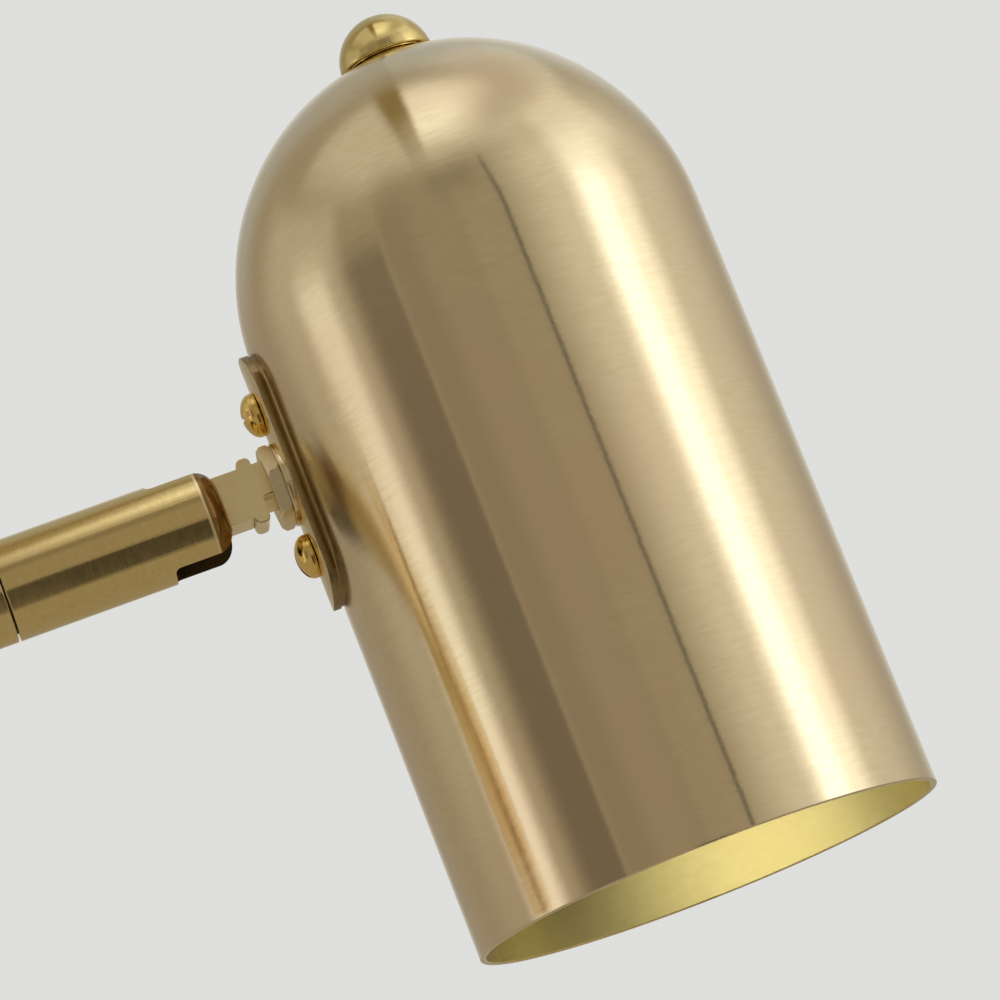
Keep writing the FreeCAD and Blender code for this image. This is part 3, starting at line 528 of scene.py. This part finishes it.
def makeShade():
    wall = shade["wall"]
    shoulderZ = shadeLow.z + shade["straight"]
    inner = shadeRadius - wall
    outside = domeArc(shadeRadius, shade["domeHeight"], shoulderZ, shade["topHole"], shade["domeSteps"])
    inside = domeArc(inner, shade["domeHeight"] - wall, shoulderZ, shade["topHole"], shade["domeSteps"])
    rim = roundedOutline([
        (shadeRadius, shoulderZ, 0),
        (shadeRadius, shadeLow.z + wall, 0),
        (shadeRadius, shadeLow.z, shade["rimRounding"]),
        (inner, shadeLow.z, shade["rimRounding"]),
        (inner, shadeLow.z + wall, 0),
        (inner, shoulderZ, 0),
    ], shade["rimSteps"])[1:-1]
    mesh = lathe(outside + rim + inside[::-1], shadeCentre, shade["steps"])
    for face in mesh.faces:
        centre = face.calc_center_median()
        fromAxis = Vector((centre.x, centre.y - shadeCentre.y, 0))
        outwards = fromAxis.dot(face.normal) > 0 or face.normal.z > shade["facingUp"]
        onRim = centre.z < shadeLow.z + shade["rimRounding"]
        if onRim and fromAxis.length < shadeRadius - shade["brightRim"]:
            face.material_index = 2
        elif not outwards:
            face.material_index = 1
    finishPiece(mesh, "satinShade", [turned["shade"], turned["shadeInside"], turned["knob"]], "shade")


makeShade()


# Knob of the rotary switch
knob = {
    "baseRounding": 0.35 * mm, "recess": 6.4 * mm, "recessDepth": 1.9 * mm,
    "steps": 96, "domeSteps": 24, "roundingSteps": 4,
}


def makeKnob():
    low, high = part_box("switch_knob")
    radius = (high.y - low.y) / 2
    height = high.z - low.z
    arc = [(radius * math.sin(angle), low.z + height * math.cos(angle))
           for angle in (math.pi / 2 * step / knob["domeSteps"] for step in range(knob["domeSteps"]))]
    skirt = roundedOutline([
        (radius, low.z + 2 * knob["baseRounding"], 0),
        (radius, low.z, knob["baseRounding"]),
        (knob["recess"], low.z, knob["baseRounding"] / 2),
        (knob["recess"], low.z + knob["recessDepth"], 0),
        (0, low.z + knob["recessDepth"], 0),
    ], knob["roundingSteps"])[1:]
    mesh = lathe(arc + skirt, shadeCentre, knob["steps"], closed=False)
    finishPiece(mesh, "switchKnob", [turned["knob"]], "switch_knob")


makeKnob()
print("shade and knob made")


# Arm tubes: each end runs into a barrel, or stops at the ring line beside the sleeve
tube = {"wall": 1.0 * mm, "edge": 0.15 * mm, "edgeSteps": 3, "steps": 112, "intoBarrel": 9.0 * mm}


def makeTube(node, name, material, axisPoint, lowY, highY):
    low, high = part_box(node)
    outer = (high.x - low.x) / 2
    outline = roundedOutline([
        (outer, lowY, tube["edge"]),
        (outer, highY, tube["edge"]),
        (outer - tube["wall"], highY, 0),
        (outer - tube["wall"], lowY, 0),
    ], tube["edgeSteps"])
    finishPiece(lathe(outline, axisPoint, tube["steps"], axis=wallward), name, [material], node)


makeTube("outer_arm_tube", "outerArmTube", turned["outerArm"], armAxis,
         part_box("outer_arm_tube")[0].y, elbowAxis.y - tube["intoBarrel"])
makeTube("inner_arm_tube", "innerArmTube", turned["innerArm"], innerArmAxis,
         elbowAxis.y + tube["intoBarrel"], hubAxis.y - tube["intoBarrel"])


# Swivel sleeve: a polished round end, darkened as a painted dark reflection; a ring of painted highlight
# where the rounding starts; and a slot whose inside faces are painted dark as shade
sleeve = {
    "polishedLength": 3.25 * mm, "highlightRingWidth": 0.45 * mm, "innerFaceDepth": 5.0 * mm,
    "slotEdge": 0.35 * mm, "slotSegments": 3, "slotHalfWidth": 4.4 * mm, "slotStopsShort": 2 * mm,
    "reach": 0.5 * mm,    # how far from the slot and the outer surface an edge still counts
    "facingIn": -0.2, "facingOut": -0.7,
}


def makeSleeve():
    mesh = refined("swivel_sleeve")
    low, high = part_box("swivel_sleeve")
    radius = (high.x - low.x) / 2

    def alongSlot(edge):
        place = edgeMiddle(edge)
        outside = place.xz.length > radius - sleeve["reach"]
        beside = abs(place.x) < sleeve["slotHalfWidth"] + sleeve["reach"]
        return outside and beside and place.y < high.y - sleeve["slotStopsShort"]

    slotEdges = [edge for edge in mesh.edges if isSharp(edge) and alongSlot(edge)]
    bevelEdges(mesh, slotEdges, sleeve["slotEdge"], sleeve["slotSegments"])
    highlightRingStart = low.y + sleeve["polishedLength"] - sleeve["highlightRingWidth"]
    highlightRingEnd = highlightRingStart + sleeve["highlightRingWidth"]
    for place in (highlightRingStart, highlightRingEnd):
        bmesh.ops.bisect_plane(mesh, geom=mesh.verts[:] + mesh.edges[:] + mesh.faces[:],
                               dist=meshing["seamWithin"], plane_co=(0, place, 0), plane_no=wallward)
    for face in mesh.faces:
        place = face.calc_center_median()
        inwards = place.xz.dot(face.normal.xz) < sleeve["facingIn"] * place.xz.length
        slotEnd = face.normal.y < sleeve["facingOut"] and place.y > low.y + sleeve["innerFaceDepth"]
        # painted shade: the slot's inside faces and its end get a dark finish
        if inwards or slotEnd:
            face.material_index = 2
        # painted dark reflection: the polished end gets the darkened arm end finish
        elif place.y < highlightRingStart:
            face.material_index = 1
        # a ring of painted highlight, given the bright plate finish
        elif place.y < highlightRingEnd:
            face.material_index = 3
    materials = [turned["outerArm"], turned["armEnd"], plain["paintedShadeSlot"], plain["brightPlate"]]
    finishPiece(mesh, "swivelSleeve", materials, "swivel_sleeve")


makeSleeve()
print("arm made")


# The strap and the saddle under it: bright faces, darker edges
strap = {
    "rimRounding": 0.55 * mm, "saddleEdge": 0.10 * mm, "rimSegments": 5,
    "rimBand": 0.3 * mm, "outerBand": 0.1 * mm, "faceAngle": 0.80,
}


def makeStrapLayer(node, name, rimRounding):
    mesh = refined(node)
    low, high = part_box(node)
    halfWidth = (high.x - low.x) / 2
    spine = (high.z - low.z) / 2 - halfWidth
    outerRadius = high.y - shadeCentre.y

    def onOuterRim(edge):
        place = edgeMiddle(edge)
        beyond = max(abs(place.z - (low.z + high.z) / 2) - spine, 0)
        onRim = math.hypot(place.x, beyond) > halfWidth - strap["rimBand"]
        return onRim and (place - shadeCentre).xy.length > outerRadius - strap["outerBand"]

    rimEdges = [edge for edge in mesh.edges if isSharp(edge) and onOuterRim(edge)]
    bevelEdges(mesh, rimEdges, rimRounding, strap["rimSegments"])
    for face in mesh.faces:
        away = (face.calc_center_median() - shadeCentre).xy.normalized()
        if away.dot(face.normal.xy) < strap["faceAngle"]:
            face.material_index = 1
    finishPiece(mesh, name, [plain["strapFace"], plain["darkEdgeAndPaintedShade"]], node, flatFaces=False)


makeStrapLayer("outer_strap", "outerStrap", strap["rimRounding"])
makeStrapLayer("saddle_plate", "saddlePlate", strap["saddleEdge"])
print("strap made")


# The tongue is a bright square bar with painted shade along the lower edges of its two sides, a dark line
# where shadow falls between side and underside
tongue = {"edge": 0.14 * mm, "sideBand": 0.05 * mm, "facingDown": -0.2}


def makeTongue():
    mesh = refined("tongue")
    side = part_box("tongue")[1].x - tongue["sideBand"]

    def underSide(edge):
        onSide = all(abs(vert.co.x) > side for vert in edge.verts)
        return onSide and min(face.normal.z for face in edge.link_faces) < tongue["facingDown"]

    lower = [edge for edge in mesh.edges if isSharp(edge) and underSide(edge)]
    # painted shade: the bevels along the lower side edges get the dark edge finish
    for face in bevelEdges(mesh, lower, tongue["edge"], clamp=False):
        face.material_index = 1
    upper = [edge for edge in mesh.edges
             if isSharp(edge) and not any(face.material_index for face in edge.link_faces)]
    bevelEdges(mesh, upper, tongue["edge"])
    finishPiece(mesh, "swivelTongue", [plain["brightPlate"], plain["darkEdgeAndPaintedShade"]], "tongue")


makeTongue()


# Pieces whose CAD shape is right get broken edges and their own finish
bevelledPieces = {
    "curved_washer": ("curvedWasher", plain["nutBrass"], 0.10 * mm),
    "strap_nut": ("strapNut", plain["nutFace"], 0.16 * mm),
    "strap_screws": ("strapScrews", turned["strapHardware"], 0.08 * mm),
    "tilt_pin": ("tiltPin", turned["strapHardware"], 0.08 * mm),
    "friction_washers": ("frictionWashers", plain["slipPlastic"], 0.0),
    "inner_nut": ("innerNut", plain["plainBrass"], 0.10 * mm),
    "lampholder_bracket": ("lampholderBracket", plain["zincSteel"], 0.15 * mm),
    "lampholder_body": ("lampholderBody", plain["whitePorcelain"], 0.35 * mm),
    "lampholder_contact": ("lampholderContact", plain["springSteel"], 0.0),
    "holder_nuts": ("holderNuts", plain["plainBrass"], 0.10 * mm),
    "bulb_glass": ("bulbGlass", plain["frostedGlass"], 0.0),
    "bulb_tip": ("bulbTip", plain["tinnedMetal"], 0.10 * mm),
    "switch_ring_nut": ("switchRingNut", turned["knob"], 0.10 * mm),
    "switch_lock_nut": ("switchLockNut", plain["plainBrass"], 0.10 * mm),
    "switch_body": ("switchBody", plain["blackPhenolic"], 0.0),
    "switch_lugs": ("switchLugs", plain["tinnedMetal"], 0.10 * mm),
    "switch_shaft": ("switchShaft", plain["plainBrass"], 0.10 * mm),
    "roll_bushing": ("rollBushing", plain["plainBrass"], 0.0),
    "roll_slip_washer": ("rollSlipWasher", plain["slipPlastic"], 0.0),
    "roll_nut": ("rollNut", plain["plainBrass"], 0.10 * mm),
    "roll_spindle": ("rollSpindle", plain["plainBrass"], 0.10 * mm),
    "outer_arm_spigot": ("outerArmSpigot", plain["plainBrass"], 0.0),
    "inner_arm_spigots": ("innerArmSpigots", plain["plainBrass"], 0.0),
    "hub_fixed_barrel": ("hubFixedBarrel", turned["hub"], 0.0),
    "hub_moving_barrel": ("hubMovingBarrel", turned["hub"], 0.0),
    "hub_pivot": ("hubPivot", plain["plainBrass"], 0.0),
    "hub_slip_washer": ("hubSlipWasher", plain["slipPlastic"], 0.0),
    "hub_near_cap": ("hubNearCap", turned["hub"], 0.12 * mm),
    "hub_far_cap": ("hubFarCap", turned["hub"], 0.12 * mm),
    "elbow_fixed_barrel": ("elbowFixedBarrel", turned["elbow"], 0.0),
    "elbow_moving_barrel": ("elbowMovingBarrel", turned["elbow"], 0.0),
    "elbow_pivot": ("elbowPivot", plain["plainBrass"], 0.0),
    "elbow_slip_washer": ("elbowSlipWasher", plain["slipPlastic"], 0.0),
    "elbow_near_cap": ("elbowNearCap", turned["elbow"], 0.12 * mm),
    "elbow_far_cap": ("elbowFarCap", turned["elbow"], 0.12 * mm),
    "wall_stem": ("wallStem", turned["outerArm"], 0.12 * mm),
    "stem_nut": ("stemNut", plain["plainBrass"], 0.10 * mm),
    "wall_canopy": ("wallCanopy", turned["canopy"], 0.12 * mm),
    "crossbar": ("crossbarPlate", plain["zincSteel"], 0.15 * mm),
    "canopy_cap_nuts": ("canopyCapNuts", turned["strapHardware"], 0.10 * mm),
    "ground_screw": ("groundScrew", plain["greenScrew"], 0.08 * mm),
    "terminal_block": ("terminalBlock", plain["ivoryPlastic"], 0.20 * mm),
    "terminal_screws": ("terminalScrews", plain["zincSteel"], 0.10 * mm),
}

for node, (name, material, bevelWidth) in bevelledPieces.items():
    finishPiece(refined(node, bevelWidth), name, [material], node)
print("hardware finished")


# Threaded pieces. A thread is cut where the surface is further from the axis than "cutBeyond"
bulbCap = {
    "pitch": 2.82 * mm, "depth": 0.60 * mm, "cutBeyond": 6.0 * mm, "steps": 72, "rows": 14,
    "radius": 7.1 * mm, "flangeThick": 0.7 * mm,
}
lampholderShell = {
    "pitch": 2.82 * mm, "depth": 0.45 * mm, "cutBeyond": 6.0 * mm, "steps": 72, "rows": 14,
    "wall": 0.25 * mm,
}
threadedTube = {
    "pitch": 1.0 * mm, "depth": 0.55 * mm, "cutBeyond": 4.6 * mm, "steps": 48, "rows": 8,
    "nippleBore": 3.5 * mm, "bushingBore": 2.05 * mm,
}
stud = {
    "pitch": 0.7 * mm, "depth": 0.38 * mm, "cutBeyond": 1.9 * mm, "steps": 32, "rows": 8,
    "radius": 2.0 * mm, "chamfer": 0.4 * mm,
}


def threadRows(thread, radius, start, end):
    count = math.ceil(abs(end - start) / thread["pitch"] * thread["rows"])
    return [(radius, start + (end - start) * row / count) for row in range(count + 1)]


def threadCutter(thread, start, end):
    # The thread runs out over its last turn at each end
    def cut(mesh):
        for vert in mesh.verts:
            reach = vert.co.xy.length
            if reach > thread["cutBeyond"]:
                turns = vert.co.z / thread["pitch"] - math.atan2(vert.co.y, vert.co.x) / (2 * math.pi)
                fromEnd = min(vert.co.z - start, end - vert.co.z) / thread["pitch"]
                groove = 0.5 - 0.5 * math.cos(2 * math.pi * turns)
                depth = thread["depth"] * max(0.0, min(1.0, fromEnd)) * groove
                vert.co.xy = vert.co.xy * (reach - depth) / reach
    return cut


def makeBulbCap():
    low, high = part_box("bulb_cap")
    flange = (high.x - low.x) / 2
    skirt = low.z + bulbCap["flangeThick"]
    outline = [(0, low.z), (flange, low.z), (flange, skirt)]
    outline += threadRows(bulbCap, bulbCap["radius"], skirt, high.z) + [(0, high.z)]
    mesh = lathe(outline, shadeCentre, bulbCap["steps"], closed=False,
                 reshape=threadCutter(bulbCap, skirt, high.z))
    finishPiece(mesh, "bulbCap", [plain["nickelPlate"]], "bulb_cap")


def makeLampholderShell():
    low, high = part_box("lampholder_shell")
    outer = (high.x - low.x) / 2
    outline = threadRows(lampholderShell, outer, low.z, high.z)
    outline += threadRows(lampholderShell, outer - lampholderShell["wall"], high.z, low.z)
    mesh = lathe(outline, shadeCentre, lampholderShell["steps"],
                 reshape=threadCutter(lampholderShell, low.z, high.z))
    finishPiece(mesh, "lampholderShell", [plain["plainBrass"]], "lampholder_shell")


def makeThreadedTube(node, name, bore):
    low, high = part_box(node)
    outline = threadRows(threadedTube, (high.x - low.x) / 2, low.z, high.z) + [(bore, high.z), (bore, low.z)]
    mesh = lathe(outline, shadeCentre, threadedTube["steps"],
                 reshape=threadCutter(threadedTube, low.z, high.z))
    finishPiece(mesh, name, [plain["plainBrass"]], node)


def makeStuds():
    low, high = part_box("canopy_studs")
    start = low.y + stud["chamfer"]
    end = high.y - stud["chamfer"]
    tip = stud["radius"] - stud["chamfer"]
    outline = [(0, low.y), (tip, low.y)] + threadRows(stud, stud["radius"], start, end)
    outline += [(tip, high.y), (0, high.y)]
    spacing = high.x - low.x - 2 * stud["radius"]
    mesh = lathe(outline, Vector((spacing / 2, 0, 0)), stud["steps"], axis=wallward, closed=False,
                 reshape=threadCutter(stud, start, end))
    second = bmesh.ops.duplicate(mesh, geom=mesh.verts[:] + mesh.edges[:] + mesh.faces[:])["geom"]
    secondVerts = [item for item in second if isinstance(item, bmesh.types.BMVert)]
    bmesh.ops.translate(mesh, vec=(-spacing, 0, 0), verts=secondVerts)
    finishPiece(mesh, "canopyStuds", [plain["zincSteel"]], "canopy_studs")


makeBulbCap()
makeLampholderShell()
makeThreadedTube("holder_nipple", "holderNipple", threadedTube["nippleBore"])
makeThreadedTube("switch_bushing", "switchBushing", threadedTube["bushingBore"])
makeStuds()


# Spring washers, bent in three waves
waveWasher = {"sheet": 0.22 * mm, "waves": 3, "bore": 5.05 * mm, "steps": 96}


def makeWaveWasher(node, name, centre, axis):
    low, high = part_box(node)
    outer = (high.x - low.x) / 2
    spare = ((high - low).dot(axis) - waveWasher["sheet"]) / 2
    top = spare + waveWasher["sheet"]

    def wave(mesh):
        for vert in mesh.verts:
            vert.co.z += spare * math.sin(waveWasher["waves"] * math.atan2(vert.co.y, vert.co.x))

    outline = [(waveWasher["bore"], spare), (outer, spare), (outer, top), (waveWasher["bore"], top)]
    mesh = lathe(outline, centre + axis * low.dot(axis), waveWasher["steps"], axis=axis, reshape=wave)
    finishPiece(mesh, name, [plain["springSteel"]], node)


makeWaveWasher("hub_wave_washer", "hubWaveWasher", hubAxis, up)
makeWaveWasher("elbow_wave_washer", "elbowWaveWasher", elbowAxis, up)
makeWaveWasher("roll_wave_washer", "rollWaveWasher", armAxis, wallward)
print("threads and spring washers made")


# Studio: a surround that only reflections see, a pale background, soft lamps and a pale floor
surround = {
    "radius": 0.75, "subdivisions": 5, "light": (0.35, 0.315, 0.265), "darkest": 0.03,
    "openTurn": -4.0, "openBehind": (148.0, 176.0), "openHeight": (-14, 4, 30, 48),
}
white = (1.0, 1.06, 1.20)
coolWhite = (1.0, 1.15, 1.7)
warm = (1.0, 0.90, 0.75)
grey = (0.55, 0.85, 1.20)
blueGrey = (0.7, 0.85, 1.25)
# Each panel adds its level and tint inside two ranges, which fade in between their first two numbers
# and out between their last two: azimuth from the camera's direction and elevation, in degrees
wallPanels = {
    "cameraScreen": ((-36.5, -35, 24, 25), (-14, -10, 41, 46), -0.025, warm),
    "screenLeft": ((-36, -32, -26, -12), (-14, -10, 30, 46), -0.045, warm),
    "screenRight": ((2, 8, 20, 24), (-14, -10, 20, 46), 0.03, warm),
    "leftFlag": ((-64, -50, -36.5, -35), (-14, -10, 10, 32), -0.17, warm),
    "screenJoint": ((24.4, 25.2, 26.2, 27.2), (-14, -10, 38, 44), -0.26, warm),
    "rightSlope": ((18, 56, 90, 146), (-14, -8, 30, 60), 0.38, white),
    "rightSoftbox": ((54, 68, 82, 98), (-14, -8, 10, 44), 0.60, white),
    "rightCore": ((60, 68, 74, 82), (-14, -8, 12, 30), 0.35, coolWhite),
    "rightUpper": ((58, 74, 98, 118), (20, 34, 44, 54), 0.24, white),
    "rightFar": ((96, 124, 150, 170), (-14, -8, 40, 70), 0.08, white),
    "leftSoftbox": ((-95, -83, -74, -64), (-14, -8, 2, 34), 0.56, white),
    "leftSlope": ((-126, -100, -66, -54), (-14, 20, 38, 50), 0.15, white),
    "upperWall": ((-30, 10, 130, 175), (42, 49, 66, 80), 0.20, white),
    "upperJoint": ((-10, 0, 14, 24), (29, 34, 39, 44), -0.08, warm),
    "tableFront": ((-6, 2, 12, 20), (-62, -52, -13, -7), -0.31, warm),
    "farLeft": ((-230, -200, -150, -125), (10, 30, 60, 80), 0.12, grey),
    "farRight": ((130, 155, 200, 230), (16, 34, 62, 82), 0.20, grey),
}
# The ranges of these are slopes from straight up: towards the camera, and across its view
ceilingPanels = {
    "rightCeilingSoftbox": ((-0.20, 0.08, 0.40, 0.86), (-0.015, 0.03, 0.16, 0.58), 0.60, white),
    "leftCeilingSoftbox": ((-0.16, 0.0, 0.55, 1.0), (-1.05, -0.45, -0.18, -0.10), 0.24, white),
    "ceilingGap": ((-0.20, -0.10, 0.16, 0.80), (-0.14, -0.10, -0.02, 0.01), -0.14, blueGrey),
}


def surroundMaterial():
    material, tree = startMaterial("studioSurround")
    toCamera = camera["right"].cross(camera["up"])
    turn = (0, 0, -math.atan2(toCamera.y, toCamera.x))
    mapping = addNode(tree, "ShaderNodeMapping", {"Vector": objectPlace(tree), "Rotation": turn},
                      vector_type="POINT")
    split = addNode(tree, "ShaderNodeSeparateXYZ", {0: mapping.outputs[0]}).outputs
    azimuth = calculate(tree, "DEGREES", calculate(tree, "ARCTAN2", split["Y"], split["X"]))
    sine = calculate(tree, "DIVIDE", split["Z"], surround["radius"])
    elevation = calculate(tree, "DEGREES", calculate(tree, "ARCSINE", sine))
    height = calculate(tree, "MAXIMUM", split["Z"], 1 * mm)    # so that no slope is divided by zero
    towards = calculate(tree, "DIVIDE", split["X"], height)
    across = calculate(tree, "DIVIDE", split["Y"], height)

    def window(value, edges):
        fadeIn = remap(tree, value, *edges[:2], 0.0, 1.0, smooth=True)
        fadeOut = remap(tree, value, *edges[2:], 1.0, 0.0, smooth=True)
        return calculate(tree, "MULTIPLY", fadeIn, fadeOut)

    total = addNode(tree, "ShaderNodeCombineXYZ", dict(zip("XYZ", surround["light"]))).outputs[0]
    for panels, first, second in ((wallPanels, azimuth, elevation), (ceilingPanels, towards, across)):
        for firstRange, secondRange, level, tint in panels.values():
            mask = calculate(tree, "MULTIPLY", window(first, firstRange), window(second, secondRange))
            light = vectorMath(tree, "SCALE", tuple(Vector(tint) * level), Scale=mask)
            total = vectorMath(tree, "ADD", total, light)
    total = vectorMath(tree, "MAXIMUM", total, (surround["darkest"],) * 3)
    glow = addNode(tree, "ShaderNodeEmission", {"Color": total, "Strength": 1.0}).outputs[0]
    clear = addNode(tree, "ShaderNodeBsdfTransparent").outputs[0]
    fromBack = calculate(tree, "ABSOLUTE", calculate(tree, "SUBTRACT", azimuth, surround["openTurn"]))
    behind = remap(tree, fromBack, *surround["openBehind"], 0.0, 1.0, smooth=True)
    opening = calculate(tree, "MULTIPLY", behind, window(elevation, surround["openHeight"]))
    showShader(tree, addNode(tree, "ShaderNodeMixShader", {0: opening, 1: glow, 2: clear}))
    return material


def addStage(mesh, name, material, place):
    data = bpy.data.meshes.new(name)
    mesh.to_mesh(data)
    mesh.free()
    data.materials.append(material)
    thing = addObject(name, data)
    thing.location = place
    return thing


def makeSurround():
    mesh = bmesh.new()
    bmesh.ops.create_icosphere(mesh, subdivisions=surround["subdivisions"], radius=surround["radius"])
    shell = addStage(mesh, "studioSurround", surroundMaterial(), shadeCentre)
    shell.visible_camera = False
    shell.visible_diffuse = False
    shell.visible_transmission = False
    shell.visible_shadow = False


floor = {
    "drop": 0.42, "size": 7.0, "fade": (1.0, 3.2),
    "colour": (0.84, 0.835, 0.815), "deepColour": (0.81, 0.805, 0.785), "cloudScale": 1.5,
    "roughness": 0.8, "specular": 0.1,
}


def makeFloor():
    material, tree = startMaterial("paleFloor")
    place = objectPlace(tree)
    clouds = noise(tree, place, floor["cloudScale"])
    shader = addNode(tree, "ShaderNodeBsdfPrincipled", {
        "Base Color": mixColours(tree, clouds, floor["colour"], floor["deepColour"]),
        "Roughness": floor["roughness"], "Specular IOR Level": floor["specular"],
    }).outputs[0]
    # The floor fades out far from the lamp, and a view from below looks through it
    faded = remap(tree, vectorMath(tree, "LENGTH", place), *floor["fade"], 0.0, 1.0, smooth=True)
    fromBelow = addNode(tree, "ShaderNodeNewGeometry").outputs["Backfacing"]
    clear = addNode(tree, "ShaderNodeBsdfTransparent").outputs[0]
    see = calculate(tree, "MAXIMUM", faded, fromBelow)
    showShader(tree, addNode(tree, "ShaderNodeMixShader", {0: see, 1: shader, 2: clear}))
    mesh = bmesh.new()
    bmesh.ops.create_grid(mesh, x_segments=1, y_segments=1, size=floor["size"])
    below = Vector((0, shadeCentre.y, shadeLow.z - floor["drop"]))
    addStage(mesh, "paleFloor", material, below).visible_glossy = False


world = {
    "background": (0.735, 0.742, 0.722), "backgroundStrength": 1.0,
    "fill": (0.95, 0.97, 1.0), "fillStrength": 0.55,
}


def makeWorld():
    studio = bpy.data.worlds.new("paleStudio")
    bpy.context.scene.world = studio
    studio.use_nodes = True
    tree = studio.node_tree
    tree.nodes.clear()
    rays = addNode(tree, "ShaderNodeLightPath").outputs
    seen = calculate(tree, "MAXIMUM", rays["Is Camera Ray"], rays["Is Glossy Ray"])
    seen = calculate(tree, "MAXIMUM", seen, rays["Is Transmission Ray"])
    fill, pale = (addNode(tree, "ShaderNodeBackground",
                          {"Color": (*world[key], 1), "Strength": world[key + "Strength"]}).outputs[0]
                  for key in ("fill", "background"))
    mix = addNode(tree, "ShaderNodeMixShader", {0: seen, 1: fill, 2: pale})
    showShader(tree, mix, "ShaderNodeOutputWorld")


# Places are from the shade's axis at the arm's height; a lamp without "at" points there
lamps = {
    "keyLamp": {
        "kind": "AREA", "from": Vector((-1.1, -0.7, 0.9)), "size": 0.8,
        "power": 13.0, "colour": (1.0, 0.98, 0.95),
    },
    "fillLamp": {
        "kind": "AREA", "from": Vector((0.9, -1.0, 0.5)), "size": 1.0,
        "power": 7.0, "colour": (0.96, 0.98, 1.0),
    },
    "mouthLamp": {
        "kind": "SPOT", "from": Vector((-0.42, 0.20, -0.20)), "at": Vector((0.033, -0.016, -0.074)),
        "beam": 6.6, "beamBlend": 1.0, "size": 0.012,
        "power": 38.0, "colour": (1.0, 0.99, 0.96),
    },
}


def makeLamps():
    for name, lamp in lamps.items():
        data = bpy.data.lights.new(name, lamp["kind"])
        if lamp["kind"] == "AREA":
            data.size = lamp["size"]
        else:
            data.spot_size = math.radians(lamp["beam"])
            data.spot_blend = lamp["beamBlend"]
            data.shadow_soft_size = lamp["size"]
        data.energy = lamp["power"]
        data.color = lamp["colour"]
        light = addObject(name, data)
        light.location = shadeCentre + lamp["from"]
        aim = lamp.get("at", Vector()) - lamp["from"]
        light.rotation_euler = aim.to_track_quat("-Z", "Y").to_euler()
        light.visible_glossy = False
        light.visible_camera = False


makeSurround()
makeFloor()
makeWorld()
makeLamps()
bpy.context.scene.view_settings.view_transform = "Standard"
print("studio ready")
